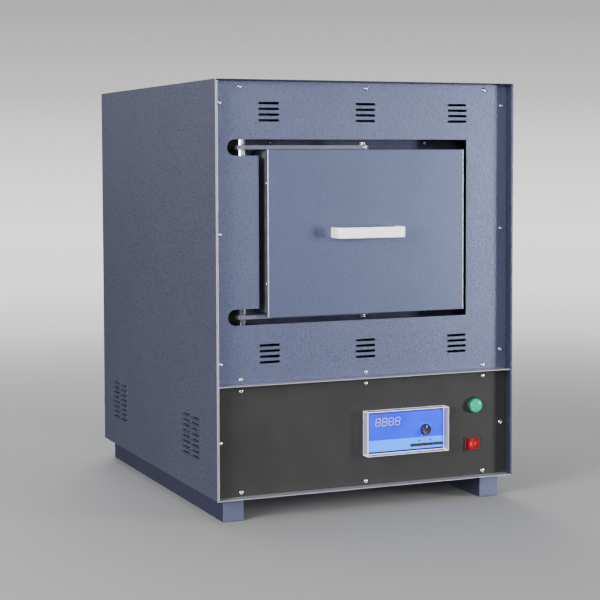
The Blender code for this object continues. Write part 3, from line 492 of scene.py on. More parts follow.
# The door cover's folded side corners take a painted highlight.
DOOR_PAINT = hammertone("door_enamel", DOOR_ENAMEL, 2.8 * MM, 0.1 * MM, 0.08, door_edge_highlights, PAINTED_HIGHLIGHT_EDGE)
ARM_PAINT = hammertone("arm_enamel", ARM_ENAMEL, 2.4 * MM, 0.08 * MM, 0.1)
BRACKET_PAINT = powder_coat("hinge_bracket_black", (0.02, 0.02, 0.024))
CHARCOAL = powder_coat("charcoal_powder_coat", (0.031, 0.031, 0.03))
MOUTH_STEEL = galvanised("mouth_plate_steel", (0.065, 0.068, 0.115))
ZINC = galvanised("zinc_sheet", (0.42, 0.44, 0.47))
BRIGHT = steel("bright_pin_steel", (0.85, 0.85, 0.88), 0.1)
SCREW_STEEL = steel("screw_zinc", (0.86, 0.86, 0.88), 0.2, (900, 900, 900))
ALLOY = cast_metal("cast_alloy", (0.6, 0.61, 0.62))
FIN_METAL = steel("heat_sink_aluminium", (0.7, 0.7, 0.72), 0.35, (30, 1500, 30))
BRASS = steel("brass", (0.75, 0.52, 0.2), 0.25, (700, 700, 700))
BOARD = fibre("fibre_board", (0.82, 0.78, 0.69), scorch=0.35)
DOOR_FIBRE = fibre("door_fibre_block", (0.84, 0.8, 0.71), scorch=0.5)
PLATE = cordierite("cordierite", (0.62, 0.5, 0.36))
COIL = oxidised_wire("element_alloy", (0.2, 0.18, 0.17))
SHEATH = cordierite("sheath_ceramic", (0.8, 0.76, 0.66))
ROPE = rope("gasket_yarn", (0.78, 0.75, 0.66))
WHITE = lacquer("white_lacquer_painted_glow", (0.93, 0.93, 0.92))
BLACK = plastic("black_plastic", (0.018, 0.018, 0.019), 0.42)
GREY = plastic("grey_plastic", (0.016, 0.017, 0.022), 0.42)
CREAM = plastic("cream_plastic", (0.66, 0.62, 0.5), 0.5)
CLEAR = acrylic("clear_acrylic")
FACE = instrument_face("instrument_face", UNDERSIDE_Z + 79.6 * MM)
DIGIT = glowing("display_segments", (0.45, 0.42, 0.25), 0.4, core=(1.0, 0.92, 0.55), dark=(0.8, 0.72, 0.45))
GREEN = glowing("green_lens", (0.0, 0.06, 0.03), 1.0, 0.2, core=(0.0, 0.8, 0.42), dark=(0.0, 0.34, 0.18))
GREEN_RIM = glowing(
    "green_lens_skirt", (0.0, 0.05, 0.02), 0.8, 0.3, core=(0.0, 0.28, 0.13), dark=(0.0, 0.14, 0.06)
)
LED_RED = glowing("red_indicator", (0.7, 0.05, 0.05), 0.5)
MARKING = plastic("pale_marking", (0.6, 0.65, 0.8), 0.5)


# -------- mesh helpers


def as_piece(obj, material, body, replaced=()):
    """Gives a finished object its material and its body, and hides the imported parts it replaces."""
    bpy.context.scene.collection.objects.link(obj)
    obj.data.materials.append(material)
    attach(obj, body)
    if replaced:
        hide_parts(*replaced)
    return obj


def smooth_mesh(name, bm):
    """A smooth-shaded mesh whose faces all point outwards."""
    bmesh.ops.recalc_face_normals(bm, faces=bm.faces)
    mesh = bpy.data.meshes.new(name)
    bm.to_mesh(mesh)
    bm.free()
    for polygon in mesh.polygons:
        polygon.use_smooth = True
    return mesh


def mesh_piece(name, bm, material, body, replaced=(), smooth_angle=35):
    mesh = smooth_mesh(name, bm)
    mesh.set_sharp_from_angle(angle=radians(smooth_angle))
    return as_piece(bpy.data.objects.new(name, mesh), material, body, replaced)


def arc(centre, radius, start, end, steps):
    """Points on an arc in a plane, angles in degrees, both ends included."""
    points = []
    for step in range(steps + 1):
        angle = radians(start + (end - start) * step / steps)
        points.append((centre[0] + radius * cos(angle), centre[1] + radius * sin(angle)))
    return points


def rounded_rectangle(width, height, radius, steps=4):
    """A closed outline round the origin."""
    outline = []
    for sign_x, sign_y, start in ((1, 1, 0), (-1, 1, 90), (-1, -1, 180), (1, -1, 270)):
        centre = (sign_x * (width / 2 - radius), sign_y * (height / 2 - radius))
        outline += arc(centre, radius, start, start + 90, steps)
    return outline


def bridge(bm, rings, closed=False):
    """Joins rings of vertices with faces."""
    pairs = list(zip(rings, rings[1:]))
    if closed:
        pairs.append((rings[-1], rings[0]))
    for first, second in pairs:
        count = len(first)
        for index in range(count):
            after = (index + 1) % count
            bm.faces.new((first[index], first[after], second[after], second[index]))


def sweep(path, section, up, closed=False, twist=None):
    """A mesh made by drawing a section along a path.  up stays one of the section's directions.
    twist, if given, takes the share of the path covered and gives the section there."""
    bm = bmesh.new()
    rings = []
    count = len(path)
    for index, point in enumerate(path):
        before = path[index - 1] if index or closed else point
        after = path[(index + 1) % count] if index < count - 1 or closed else point
        along = (after - before).normalized()
        side = along.cross(up).normalized()
        outline = twist(index / count) if twist else section
        rings.append([bm.verts.new(point + side * u + up * v) for u, v in outline])
    bridge(bm, rings, closed)
    if not closed:
        bm.faces.new(rings[0])
        bm.faces.new(rings[-1])
    return bm


def turned(profile, matrix, steps, bm=None, flute=None):
    """A turned form from (radius, height) pairs, along the matrix's Z axis, closed where the radius is 0.
    flute, if given, takes a step and a height and gives the share of the radius reached there."""
    bm = bm or bmesh.new()
    rings = []
    ends = []
    for radius, height in profile:
        if radius == 0:
            ends.append((len(rings), bm.verts.new(matrix @ Vector((0, 0, height)))))
            continue
        ring = []
        for step in range(steps):
            angle = 2 * pi * step / steps
            reach = radius * (flute(step, height) if flute else 1)
            point = Vector((reach * cos(angle), reach * sin(angle), height))
            ring.append(bm.verts.new(matrix @ point))
        rings.append(ring)
    bridge(bm, rings)
    for position, apex in ends:
        ring = rings[0] if position == 0 else rings[-1]
        for index in range(steps):
            bm.faces.new((apex, ring[index], ring[(index + 1) % steps]))
    return bm


def prism(bm, outline, matrix, low, high):
    """A straight-sided block on an outline, along the matrix's Z axis."""
    rings = [[bm.verts.new(matrix @ Vector((x, y, z))) for x, y in outline] for z in (low, high)]
    bridge(bm, rings)
    bm.faces.new(rings[0])
    bm.faces.new(rings[1])


def facing(origin, normal, up=Vector((0, 0, 1))):
    """A matrix at origin whose Z axis is the normal and whose Y axis leans to up."""
    z_axis = Vector(normal).normalized()
    x_axis = up.cross(z_axis).normalized()
    y_axis = z_axis.cross(x_axis)
    matrix = Matrix((x_axis, y_axis, z_axis)).transposed().to_4x4()
    matrix.translation = origin
    return matrix


def even_normals(obj):
    normals = obj.modifiers.new("even_normals", "WEIGHTED_NORMAL")
    normals.keep_sharp = True


def rounded(obj, width, segments=2):
    """Rounds every edge sharper than 35 degrees."""
    bevel = obj.modifiers.new("rounded_edges", "BEVEL")
    bevel.width = width
    bevel.segments = segments
    bevel.limit_method = "ANGLE"
    bevel.angle_limit = radians(35)
    even_normals(obj)


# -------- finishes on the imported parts

FRONT = Vector((0, -1, 0))
BACK = Vector((0, 1, 0))

NODE_FINISH = {
    "left_side_panel": (LEFT_PAINT, 0.4), "right_side_panel": (RIGHT_PAINT, 0.4),
    "top_panel": (TOP_PAINT, 0.3), "base_plate": (LEDGE_PAINT, 0.3),
    "left_skid": (SKID_PAINT, 0), "right_skid": (SKID_PAINT, 0),
    "divider_shelf": (LEDGE_PAINT, 0.3), "front_panel": (CASING_PAINT, 0.2),
    "control_panel": (CHARCOAL, 0.3), "rear_panel": (CASING_PAINT, 0.4),
    "mouth_plate": (MOUTH_STEEL, 0.4), "floor_board": (BOARD, 1.0), "roof_board": (BOARD, 1.0),
    "left_board": (BOARD, 1.0), "right_board": (BOARD, 1.0), "rear_board": (BOARD, 0.8),
    "hearth_plate": (PLATE, 0), "chamber_stand": (ZINC, 0.4),
    "thermocouple_sheath": (SHEATH, 0), "thermocouple_head": (ALLOY, 0.5),
    "upper_hinge_bracket": (BRACKET_PAINT, 0.5), "lower_hinge_bracket": (BRACKET_PAINT, 0.5),
    "upper_hinge_pin": (BRIGHT, 0.3), "lower_hinge_pin": (BRIGHT, 0.3),
    "upper_arm": (ARM_PAINT, 0.6), "lower_arm": (ARM_PAINT, 0.6),
    "upper_pivot_pin": (BRIGHT, 0.3), "lower_pivot_pin": (BRIGHT, 0.3),
    "door_cover": (DOOR_PAINT, 0), "door_body": (ZINC, 0.4), "door_insulation": (DOOR_FIBRE, 2.0),
    "controller_face": (FACE, 0.3), "controller_case": (BLACK, 0),
    "controller_lid": (CLEAR, 0), "lamp_body": (BLACK, 0.3), "lamp_lens": (GREEN, 0),
    "rocker_housing": (BLACK, 0.3), "heat_sink": (FIN_METAL, 0.4), "power_regulator": (BLACK, 0),
    "terminal_block": (CREAM, 0.4),
}


def paint_node(node, material):
    """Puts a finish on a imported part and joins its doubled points.  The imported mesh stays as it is."""
    node.data.materials.clear()
    node.data.materials.append(material)
    weld = node.modifiers.new("weld", "WELD")
    weld.merge_threshold = 0.00001


def finish_node(name, material, edge_mm):
    """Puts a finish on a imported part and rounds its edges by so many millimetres."""
    node = NODES[name]
    paint_node(node, material)
    if edge_mm:
        flat = node.modifiers.new("whole_faces", "DECIMATE")
        flat.decimate_type = "DISSOLVE"
        flat.angle_limit = radians(0.5)
        rounded(node, edge_mm * MM)
    else:
        even_normals(node)


def packed_parts():
    for name, (material, edge_mm) in NODE_FINISH.items():
        finish_node(name, material, edge_mm)


# -------- screws


def pan_head(bm, position, normal, radius, height):
    """A domed screw head with a cross recess.  The profile gives shares of the radius and the height."""
    steps = 24
    quarter = steps // 4
    matrix = facing(position, normal)
    profile = ((1.0, 0.0), (1.0, 0.35), (0.93, 0.64), (0.78, 0.84), (0.6, 0.94), (0.42, 0.98), (0.2, 1.0))
    rings = []
    for share, level in profile:
        ring = []
        for step in range(steps):
            off_arm = min(step % quarter, quarter - step % quarter)
            sunk = 0.0
            if share < 0.5:
                sunk = 0.42 if off_arm == 0 else 0.0
            if share < 0.3:
                sunk = 0.5 if off_arm <= 1 else 0.2
            angle = 2 * pi * step / steps
            reach = share * radius
            point = Vector((reach * cos(angle), reach * sin(angle), (level - sunk) * height))
            ring.append(bm.verts.new(matrix @ point))
        rings.append(ring)
    bridge(bm, rings)
    bm.faces.new(rings[0])
    centre = bm.verts.new(matrix @ Vector((0, 0, 0.45 * height)))
    for index in range(steps):
        bm.faces.new((centre, rings[-1][index], rings[-1][(index + 1) % steps]))


def screws(name, positions, normal, radius, height, body="casing"):
    bm = bmesh.new()
    for position in positions:
        pan_head(bm, position, normal, radius, height)
    mesh_piece(name, bm, SCREW_STEEL, body)


SCREW_COLUMNS = (-230.5, 0, 230.5)


def panel_screws(name, rows, sides, side_heights, depth, normal):
    """Rows of screws across a panel and a column near each side of it, in millimetres."""
    positions = []
    for z in rows:
        for x in SCREW_COLUMNS:
            positions.append(place(x * MM, depth, z * MM))
    for z in side_heights:
        for side in (-1, 1):
            positions.append(place(side * sides * MM, depth, z * MM))
    screws(name, positions, normal, 3.8 * MM, 2.4 * MM)


def all_screws():
    panel_screws("front_panel_screws", (685, 198.5), 266.5, (658, 441, 225), SHEET_Y, FRONT)
    panel_screws("control_panel_screws", (178.5, 8.5), 267, (93.5,), SHEET_Y, FRONT)
    panel_screws("rear_panel_screws", (686, 12), 271, (600, 441, 283, 125), REAR_SHEET_Y, BACK)
    cover_low, cover_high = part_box("door_cover")
    for name, x, normal in (("left", cover_low.x, (-1, 0, 0)), ("right", cover_high.x, (1, 0, 0))):
        spots = [Vector((x, FRONT_Y + 14 * MM, UNDERSIDE_Z + z * MM)) for z in (525, 358.5)]
        screws(f"door_{name}_screws", spots, normal, 2.4 * MM, 1.2 * MM, "door")
    arm_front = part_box("upper_arm")[0].y
    for name, node in (("upper", "upper_arm"), ("lower", "lower_arm")):
        low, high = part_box(node)
        spot = Vector((-2 * MM, arm_front, (low.z + high.z) / 2))
        screws(f"{name}_arm_screw", [spot], FRONT, 2.3 * MM, 1.5 * MM, "door_arms")
    mouth_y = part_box("mouth_plate")[0].y
    spots = [Vector((x * MM, mouth_y, UNDERSIDE_Z + z * MM)) for x in (-149, 149) for z in (592.8, 293.5)]
    screws("mouth_plate_screws", spots, FRONT, 3 * MM, 1.8 * MM)


# -------- door handle and gasket


def door_handle():
    """A bow bent from flat bar with softened edges."""
    low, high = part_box("door_handle")
    bend = 12 * MM
    bar = 5 * MM
    middle_z = (low.z + high.z) / 2
    half = bar / 2
    left, right, front, back = low.x + half, high.x - half, low.y + half, high.y
    inner = bend - half
    corners = arc((left + inner, front + inner), inner, 180, 270, 10)
    corners += arc((right - inner, front + inner), inner, 270, 360, 10)
    flat_path = [(left, back)] + corners + [(right, back)]
    path = [Vector((x, y, middle_z)) for x, y in flat_path]
    section = rounded_rectangle(bar, high.z - low.z, 1.4 * MM, 4)
    bm = sweep(path, section, Vector((0, 0, 1)))
    mesh_piece("handle_bow", bm, WHITE, "door", ["door_handle"], 60)


def door_gasket():
    """Three-strand fibre rope laid in a loop round the door's plug."""
    low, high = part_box("door_gasket")
    radius = (high.y - low.y) / 2
    strand = radius * 0.92
    outline = rounded_rectangle(high.x - low.x - 2 * radius, high.z - low.z - 2 * radius, 12 * MM, 10)
    centre = (low + high) / 2
    corners = [Vector((centre.x + x, centre.y, centre.z + z)) for x, z in outline]
    loop = divided(corners, corners[1:] + corners[:1], 2.2 * MM)
    turns = 90
    sides = 18

    def lobes(share):
        ring = []
        for side in range(sides):
            angle = 2 * pi * side / sides
            reach = strand * (0.93 + 0.07 * cos(3 * angle + 2 * pi * turns * share))
            ring.append((reach * cos(angle), reach * sin(angle)))
        return ring

    bm = sweep(loop, None, Vector((0, 1, 0)), closed=True, twist=lobes)
    mesh_piece("gasket_rope", bm, ROPE, "door", ["door_gasket"], 80)


def divided(starts, ends, step):
    """Points about one step apart along the line from each start to its end."""
    points = []
    for start, end in zip(starts, ends):
        pieces = max(1, round((end - start).length / step))
        points += [start.lerp(end, index / pieces) for index in range(pieces)]
    return points


# -------- heating elements

ELEMENT_RUNS = 6
WIRE_RADIUS = 0.7 * MM
BEND_TO_REAR_BOARD = 24.3 * MM
STAPLE_DEPTHS = (60 * MM, 150 * MM, 240 * MM, 330 * MM)


def run_spacing(node):
    """Half the element's thickness, and the height from one of its runs to the next."""
    low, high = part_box(node)
    thick = (high.x - low.x) / 2
    return thick, (high.z - low.z - 2 * thick) / (ELEMENT_RUNS - 1)


def element_line(node, step):
    """Evenly spaced points along the element's centre line, from one tail to the other."""
    low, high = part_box(node)
    thick, pitch = run_spacing(node)
    x = (low.x + high.x) / 2
    bend = pitch / 2
    front = low.y + thick + bend
    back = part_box("rear_board")[0].y - BEND_TO_REAR_BOARD
    line = [(high.y, low.z + thick)]
    for run in range(ELEMENT_RUNS - 1):
        middle = low.z + thick + (run + 0.5) * pitch
        if run % 2 == 0:
            line += arc((front, middle), bend, 270, 90, 12)
        else:
            line += arc((back, middle), bend, -90, 90, 12)
    line.append((high.y, high.z - thick))
    corners = [Vector((x, y, z)) for y, z in line]
    return divided(corners, corners[1:], step) + corners[-1:]


def element_coil(name, node):
    """Resistance wire wound in a helix inside the chamber, with straight tails through the rear board."""
    per_turn = 10
    coil_pitch = 3.4 * MM
    low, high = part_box(node)
    coil_radius = (high.x - low.x) / 2 - WIRE_RADIUS
    board_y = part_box("rear_board")[0].y
    line = element_line(node, coil_pitch / per_turn)
    sideways = Vector((1, 0, 0))
    points = []
    for index, point in enumerate(line):
        before = line[max(index - 1, 0)]
        after = line[min(index + 1, len(line) - 1)]
        across = (after - before).normalized().cross(sideways)
        wound = max(0.0, min(1.0, (board_y - 4 * MM - point.y) / (10 * MM)))
        angle = 2 * pi * index / per_turn
        points.append(point + (sideways * cos(angle) + across * sin(angle)) * coil_radius * wound)
    wire(name, [points], WIRE_RADIUS, COIL, "casing", [node])


def wire(name, lines, radius, material, body, replaced=()):
    curve = bpy.data.curves.new(name, "CURVE")
    curve.dimensions = "3D"
    curve.bevel_depth = radius
    curve.bevel_resolution = 1
    curve.use_fill_caps = True
    for points in lines:
        spline = curve.splines.new("POLY")
        spline.points.add(len(points) - 1)
        for target, point in zip(spline.points, points):
            target.co = (*point, 1)
    as_piece(bpy.data.objects.new(name, curve), material, body, replaced)


def element_staples(name, node, wall_x):
    """Wire staples that pin each run of the coil to the chamber wall."""
    low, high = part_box(node)
    thick, pitch = run_spacing(node)
    x = (low.x + high.x) / 2
    inward = -1 if wall_x > 0 else 1
    reach = thick + 0.7 * MM
    sunk = wall_x - inward * 2 * MM
    lines = []
    for run in range(ELEMENT_RUNS):
        z = low.z + thick + run * pitch
        for offset in STAPLE_DEPTHS:
            y = low.y + offset
            bow = arc((0, 0), reach, -90, 90, 8)
            loop = [Vector((x + inward * u, y, z + v)) for u, v in bow]
            lines.append([Vector((sunk, y, z - reach))] + loop + [Vector((sunk, y, z + reach))])
    wire(name, lines, 0.55 * MM, COIL, "casing")


def heating_elements():
    for side in ("left", "right"):
        node = f"{side}_element"
        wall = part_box("left_board")[1].x if side == "left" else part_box("right_board")[0].x
        element_coil(f"{side}_heating_coil", node)
        element_staples(f"{side}_coil_staples", node, wall)


# -------- controller, lamp and switch

# Each bar's middle, in shares of a figure's width and height, and whether it lies level
SEGMENTS = (
    ((0.5, 1.0), True), ((1.0, 0.75), False), ((1.0, 0.25), False), ((0.5, 0.0), True),
    ((0.0, 0.25), False), ((0.0, 0.75), False), ((0.5, 0.5), True),
)


def display_digits():
    """Four seven-segment figures in the controller's window."""
    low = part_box("controller_face")[0]
    width, height = 8.2 * MM, 13 * MM
    thick, lean = 1.2 * MM, 0.12
    pitch = 12.6 * MM
    floor = facing(Vector((low.x + 11.5 * MM, low.y + 1 * MM, low.z + 44.5 * MM)), FRONT)
    bm = bmesh.new()
    for digit in range(4):
        for (share_x, share_y), level in SEGMENTS:
            centre_y = share_y * height
            centre_x = digit * pitch + share_x * width + lean * centre_y
            length = (width if level else height / 2) - 0.7 * MM
            outline = segment_outline(centre_x, centre_y, length, thick, level, lean)
            prism(bm, outline, floor, 0.05 * MM, 0.4 * MM)
    mesh_piece("display_digits", bm, DIGIT, "casing")


def segment_outline(centre_x, centre_y, length, thick, level, lean):
    """One pointed bar of a figure, lying or standing."""
    half, point = length / 2, thick / 2
    bar = [(-half, 0), (-half + point, -point), (half - point, -point),
           (half, 0), (half - point, point), (-half + point, point)]
    if level:
        return [(centre_x + u + lean * v, centre_y + v) for u, v in bar]
    return [(centre_x + v + lean * u, centre_y + u) for u, v in reversed(bar)]


def face_bar(bm, x, z, size, low, high):
    """A bar of a size (width, height, corner radius) on the controller's face, all in millimetres."""
    face_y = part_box("controller_face")[0].y
    spot = facing(place(x * MM, face_y - FRONT_Y, z * MM), FRONT)
    prism(bm, rounded_rectangle(*[length * MM for length in size]), spot, low * MM, high * MM)


def controller_details():
    """Key strip and indicator lamps on the instrument's face."""
    key_row, lamp_row = 66.5, 73.5
    keys = bmesh.new()
    face_bar(keys, 113, key_row, (64, 5.2, 1), -0.1, 0.5)
    for index in range(5):
        face_bar(keys, 89 + 12 * index, key_row, (8.4, 3.4, 1), 0.4, 1.1)
    rounded(mesh_piece("controller_keys", keys, GREY, "casing"), 0.15 * MM)
    marks = bmesh.new()
    for x in (99, 120):
        face_bar(marks, x, lamp_row, (6, 1.6, 0.5), -0.1, 0.3)
    mesh_piece("indicator_windows", marks, GREY, "casing")
    red = bmesh.new()
    face_bar(red, 109.5, lamp_row, (7, 1.8, 0.5), -0.1, 0.3)
    mesh_piece("red_indicator", red, LED_RED, "casing")


def knob_centre():
    """The middle of the knob, where it meets the controller's face."""
    low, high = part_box("controller_knob")
    return Vector(((low.x + high.x) / 2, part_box("controller_face")[0].y, (low.z + high.z) / 2))


def knob_scale():
    """Eleven ticks round the knob, on the face."""
    centre = knob_centre()
    bm = bmesh.new()
    for tick in range(11):
        angle = radians(-140 + 28 * tick)
        direction = Vector((sin(angle), 0, cos(angle)))
        matrix = facing(centre + direction * 12.6 * MM, FRONT, direction)
        prism(bm, rounded_rectangle(0.5 * MM, 2.2 * MM, 0.2 * MM, 2), matrix, -0.05 * MM, 0.2 * MM)
    mesh_piece("knob_scale", bm, MARKING, "casing")


def controller_knob():
    """Fluted knob with a pointer line."""
    low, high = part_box("controller_knob")
    centre = knob_centre()
    matrix = facing(centre, FRONT)
    radius = (high.x - low.x) / 2
    top = centre.y - low.y
    steps = 96

    def flute(step, height):
        if 0.8 * MM < height < top - 0.3 * MM:
            return 1 - 0.045 * (0.5 - 0.5 * cos(2 * pi * step / steps * 24))
        return 1

    profile = [
        (0, top - 0.5 * MM), (radius * 0.55, top - 0.45 * MM), (radius * 0.72, top - 0.05 * MM),
        (radius * 0.84, top), (radius * 0.88, top - 0.35 * MM), (radius * 0.94, top - 1 * MM),
        (radius * 0.99, 1.4 * MM), (radius, 1.1 * MM), (radius, 0.3 * MM),
        (3 * MM, 0.3 * MM), (3 * MM, centre.y - high.y), (0, centre.y - high.y),
    ]
    bm = turned(profile, matrix, steps, flute=flute)
    mesh_piece("fluted_knob", bm, GREY, "knob", ["controller_knob"], 40)
    line = bmesh.new()
    mark = facing(centre + Vector((0, 0, radius * 0.62)), FRONT)
    prism(line, rounded_rectangle(0.9 * MM, radius * 0.5, 0.3 * MM, 2), mark, top - 0.6 * MM, top)
    mesh_piece("knob_pointer", line, MARKING, "knob")


def rocker():
    """The red key, with two lamps behind its face."""
    node = NODES["rocker_key"]
    low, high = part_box("rocker_key")
    centre = (low + high) / 2
    spots = [Vector((centre.x + x * MM, low.y, centre.z)) for x in (-5, 5)]
    paint_node(node, lit_rocker("red_rocker", (0.2, 0.0, 0.004), spots))
    rounded(node, 0.5 * MM, 3)


def lamp_ring():
    """Knurled locking ring round the pilot lamp's lens."""
    low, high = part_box("lamp_lens")
    centre = (low + high) / 2
    base_y = FRONT_Y + SHEET_Y
    matrix = facing(Vector((centre.x, base_y, centre.z)), FRONT)
    steps = 96

    def knurl(step, height):
        return 1 - 0.03 * (step % 4 == 0) if 4.4 * MM < height < 8.6 * MM else 1

    profile = [
        (12.3 * MM, 4.25 * MM), (13.2 * MM, 4.5 * MM), (13.2 * MM, 8.4 * MM), (12.8 * MM, 8.9 * MM),
        (12.0 * MM, 8.9 * MM), (11.9 * MM, 8.6 * MM), (11.9 * MM, 4.25 * MM), (12.3 * MM, 4.25 * MM),
    ]
    bm = turned(profile, matrix, steps, flute=knurl)
    bmesh.ops.remove_doubles(bm, verts=bm.verts, dist=0.000001)
    mesh_piece("lamp_ring", bm, GREEN_RIM, "casing", (), 40)


# -------- back of the casing


def cable_gland():
    """Hexagonal body, ribbed dome nut and rubber bush."""
    low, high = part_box("cable_gland")
    middle_x, middle_z = (low.x + high.x) / 2, (low.z + high.z) / 2
    face_y = FRONT_Y + REAR_SHEET_Y
    matrix = facing(Vector((middle_x, face_y, middle_z)), BACK)
    hexagon = arc((0, 0), 14.6 * MM, 0, 300, 5)
    bm = bmesh.new()
    prism(bm, hexagon, matrix, 0.3 * MM, 6.8 * MM)
    rounded(mesh_piece("gland_hexagon", bm, BLACK, "casing", ["cable_gland"]), 0.5 * MM)
    top = high.y - face_y - 0.1 * MM
    steps = 96

    def ribs(step, height):
        return 1 - 0.06 * (step % 8 < 3) if 8 * MM < height < 12.5 * MM else 1

    dome = [
        (12 * MM, 6.9 * MM), (13.4 * MM, 7.2 * MM), (13.4 * MM, 8.2 * MM), (13.3 * MM, 12.2 * MM),
        (12.4 * MM, 13.5 * MM), (11.2 * MM, 16.6 * MM), (10 * MM, top - 0.4 * MM), (8.6 * MM, top),
        (6.6 * MM, top), (6.3 * MM, top - 0.5 * MM), (6.3 * MM, 7.5 * MM),
    ]
    nut = turned(dome, matrix, steps, flute=ribs)
    mesh_piece("gland_dome_nut", nut, BLACK, "casing", (), 40)
    bush = [(0, 10 * MM), (3.4 * MM, 10.2 * MM), (4 * MM, top - 0.9 * MM), (6.2 * MM, top - 0.7 * MM),
            (6.2 * MM, 7 * MM), (0, 7 * MM)]
    mesh_piece("gland_bush", turned(bush, matrix, 32), GREY, "casing")


def probe_head_details():
    """Cover screws on the thermocouple's connection head."""
    low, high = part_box("thermocouple_head")
    centre = (low + high) / 2
    bm = bmesh.new()
    for angle in (45, 225):
        offset = Vector((cos(radians(angle)), 0, sin(radians(angle)))) * 11.4 * MM
        pan_head(bm, Vector((centre.x, high.y - 1.6 * MM, centre.z)) + offset, BACK, 1.9 * MM, 1.5 * MM)
    mesh_piece("probe_head_screws", bm, SCREW_STEEL, "casing")


def earth_stud():
    """Brass stud with washer and hexagon nut beside the gland."""
    face_y = FRONT_Y + REAR_SHEET_Y
    matrix = facing(place(-150 * MM, face_y - FRONT_Y, 62 * MM), BACK)
    bm = bmesh.new()
    turned([(0, 0.9 * MM), (6 * MM, 0.9 * MM), (6 * MM, 0), (0, 0)], matrix, 32, bm)
    prism(bm, arc((0, 0), 5 * MM, 0, 300, 5), matrix, 0.9 * MM, 4.6 * MM)
    turned([(0, 12 * MM), (2 * MM, 12 * MM), (2.5 * MM, 11.4 * MM), (2.5 * MM, 0), (0, 0)], matrix, 24, bm)
    rounded(mesh_piece("earth_stud", bm, BRASS, "casing"), 0.2 * MM)


# -------- studio


FLAT_RADIUS = 4.6


def studio():
    """A pale floor that curves up into a wall all the way round.  It casts no light on the object."""
    curve, wall_height = 1.6, 5.5
    profile = [(1.5, 0), (3, 0), (FLAT_RADIUS, 0)]
    profile += arc((FLAT_RADIUS, curve), curve, -80, 0, 8)
    profile.append((FLAT_RADIUS + curve, wall_height))
    steps = 96
    bm = turned(profile, Matrix.Identity(4), steps)
    bm.verts.ensure_lookup_table()
    bm.faces.new(bm.verts[:steps])
    mesh = smooth_mesh("studio_floor", bm)
    floor = bpy.data.objects.new("studio_floor", mesh)
    bpy.context.scene.collection.objects.link(floor)
    mesh.materials.append(backdrop_paint())
    floor.visible_diffuse = False
    floor.visible_glossy = False
    floor.visible_transmission = False
    floor.visible_shadow = False


GLOW_TOP = 1.6
FLOOR_GLOW = ((0.0, 0.5), (0.2, 0.62), (0.42, 0.85), (0.78, 1.3), (1.0, 1.55))
WALL_GLOW = ((0.0, 1.55), (0.08, 1.6), (0.2, 1.25), (0.32, 0.8), (0.48, 0.55), (1.0, 0.4))
UNLIT = (0, 0, 0)
FAR_GREY = (0.02, 0.02, 0.02)


def backdrop_paint():
    """Matt grey floor round the object.  Further out it gives its own light, brightest low on the wall."""
    finish = Finish("backdrop", (0.35, 0.35, 0.35), Roughness=0.9, Specular_IOR_Level=0.1)
    flat_point = finish.stretched((1, 1, 0))
    radius = finish.node("ShaderNodeVectorMath", {0: flat_point}, operation="LENGTH").outputs["Value"]
    far = finish.spread(radius, 0.9, 2.6)
    weave = finish.spread(finish.noise(420, detail=3.0, roughness=0.7), 0.3, 0.7)
    near_tone = finish.mix(weave, finish.shade(0.97), finish.shade(1.12))
    finish.coloured(finish.mix(far, near_tone, FAR_GREY))
    on_floor = finish.ramp(finish.spread(radius, 0.0, FLAT_RADIUS), FLOOR_GLOW, GLOW_TOP)
    on_wall = finish.ramp(finish.spread(finish.axis("Z"), 0.0, 3.0), WALL_GLOW, GLOW_TOP)
    glow = finish.mix(finish.spread(radius, 4.55, 4.75), on_floor, on_wall)
    grain = finish.spread(finish.noise(110, detail=3.0, roughness=0.7), 0.3, 0.7, 0.93, 1.07)
    glow = finish.node("ShaderNodeVectorMath", {0: glow, 1: grain}, operation="MULTIPLY").outputs["Vector"]
    finish.link(finish.mix(far, UNLIT, glow), "Emission Color")
    finish.set("Emission Strength", GLOW_TOP)
    return finish.material


def area_light(name, position, target, size, power):
    """A white softbox at a position, turned to a target, with its size in metres and its power in watts."""
    light = bpy.data.lights.new(name, "AREA")
    light.shape = "RECTANGLE"
    light.size, light.size_y = size
    light.energy = power
    lamp = bpy.data.objects.new(name, light)
    lamp.location = position
    lamp.rotation_euler = (Vector(target) - Vector(position)).to_track_quat("-Z", "Y").to_euler()
    lamp.visible_camera = False
    bpy.context.scene.collection.objects.link(lamp)


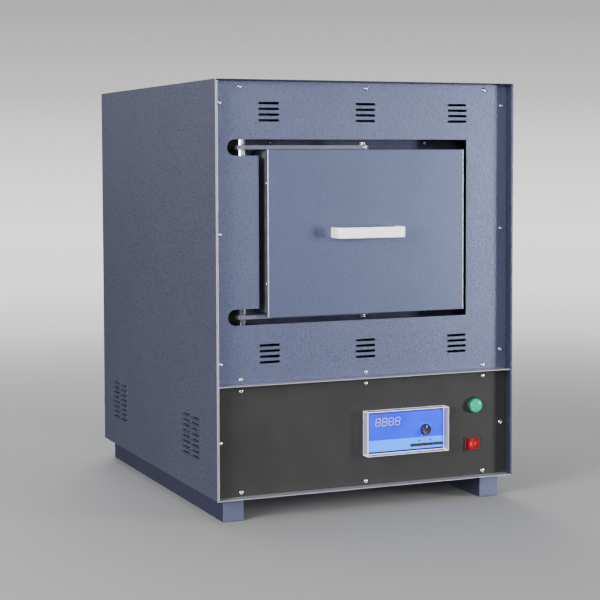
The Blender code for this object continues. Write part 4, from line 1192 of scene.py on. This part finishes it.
def lights():
    area_light("key_softbox", (3.1, -2.9, 0.5), (0, 0, 0.38), (0.9, 1.5), 150)
    area_light("fill_softbox", (-3.2, -1.9, 1.2), (0, 0, 0.4), (1.5, 1.5), 190)
    area_light("front_softbox", (-0.6, -4.3, 1.2), (0, 0, 0.4), (1.4, 1.4), 66)
    area_light("top_softbox", (0.1, 0.7, 3.2), (0, 0, 0.3), (2.4, 2.4), 48)
    area_light("rear_softbox", (0.9, 3.3, 1.9), (0, 0, 0.4), (1.6, 1.2), 70)


SKY_STRENGTH = 0.7
SKY_TINT = (0.92, 0.95, 1.0)
SKY_STOPS = ((0.0, 0.16), (0.36, 0.1), (0.44, 0.5), (0.6, 0.3), (1.0, 0.5))
SKY_LOW, SKY_HIGH = -0.6, 0.9


def sky():
    """Light from all round, whose brightness goes by its height."""
    world = bpy.data.worlds.new("studio")
    world.use_nodes = True
    nodes, links = world.node_tree.nodes, world.node_tree.links
    direction = nodes.new("ShaderNodeTexCoord").outputs["Generated"]
    split = nodes.new("ShaderNodeSeparateXYZ")
    scale = nodes.new("ShaderNodeMapRange")
    links.new(direction, split.inputs["Vector"])
    links.new(split.outputs["Z"], scale.inputs["Value"])
    scale.inputs["From Min"].default_value = SKY_LOW
    scale.inputs["From Max"].default_value = SKY_HIGH
    shades = nodes.new("ShaderNodeValToRGB")
    links.new(scale.outputs["Result"], shades.inputs["Fac"])
    set_stops(shades.color_ramp, SKY_STOPS, SKY_TINT)
    background = nodes["Background"]
    links.new(shades.outputs["Color"], background.inputs["Color"])
    background.inputs["Strength"].default_value = SKY_STRENGTH
    bpy.context.scene.world = world


def camera():
    """Three-quarter view from the front left, level with the upper part of the casing."""
    data = bpy.data.cameras.new("camera")
    data.sensor_width = 36
    data.lens = 94.24
    data.shift_y = -0.0833
    data.clip_end = 60
    obj = bpy.data.objects.new("camera", data)
    yaw, tilt, roll = radians(23.229), radians(3.393), radians(-0.18)
    heading = Matrix.Rotation(-yaw, 4, "Z") @ Matrix.Rotation(pi / 2 - tilt, 4, "X")
    turn = heading @ Matrix.Rotation(roll, 4, "Z")
    obj.matrix_world = Matrix.Translation(place(-1.164, -2.4071, 0.5687)) @ turn
    bpy.context.scene.collection.objects.link(obj)
    bpy.context.scene.camera = obj


camera()
packed_parts()
all_screws()
door_handle()
door_gasket()
heating_elements()
display_digits()
controller_details()
knob_scale()
controller_knob()
rocker()
lamp_ring()
cable_gland()
probe_head_details()
earth_stud()
studio()
lights()
sky()
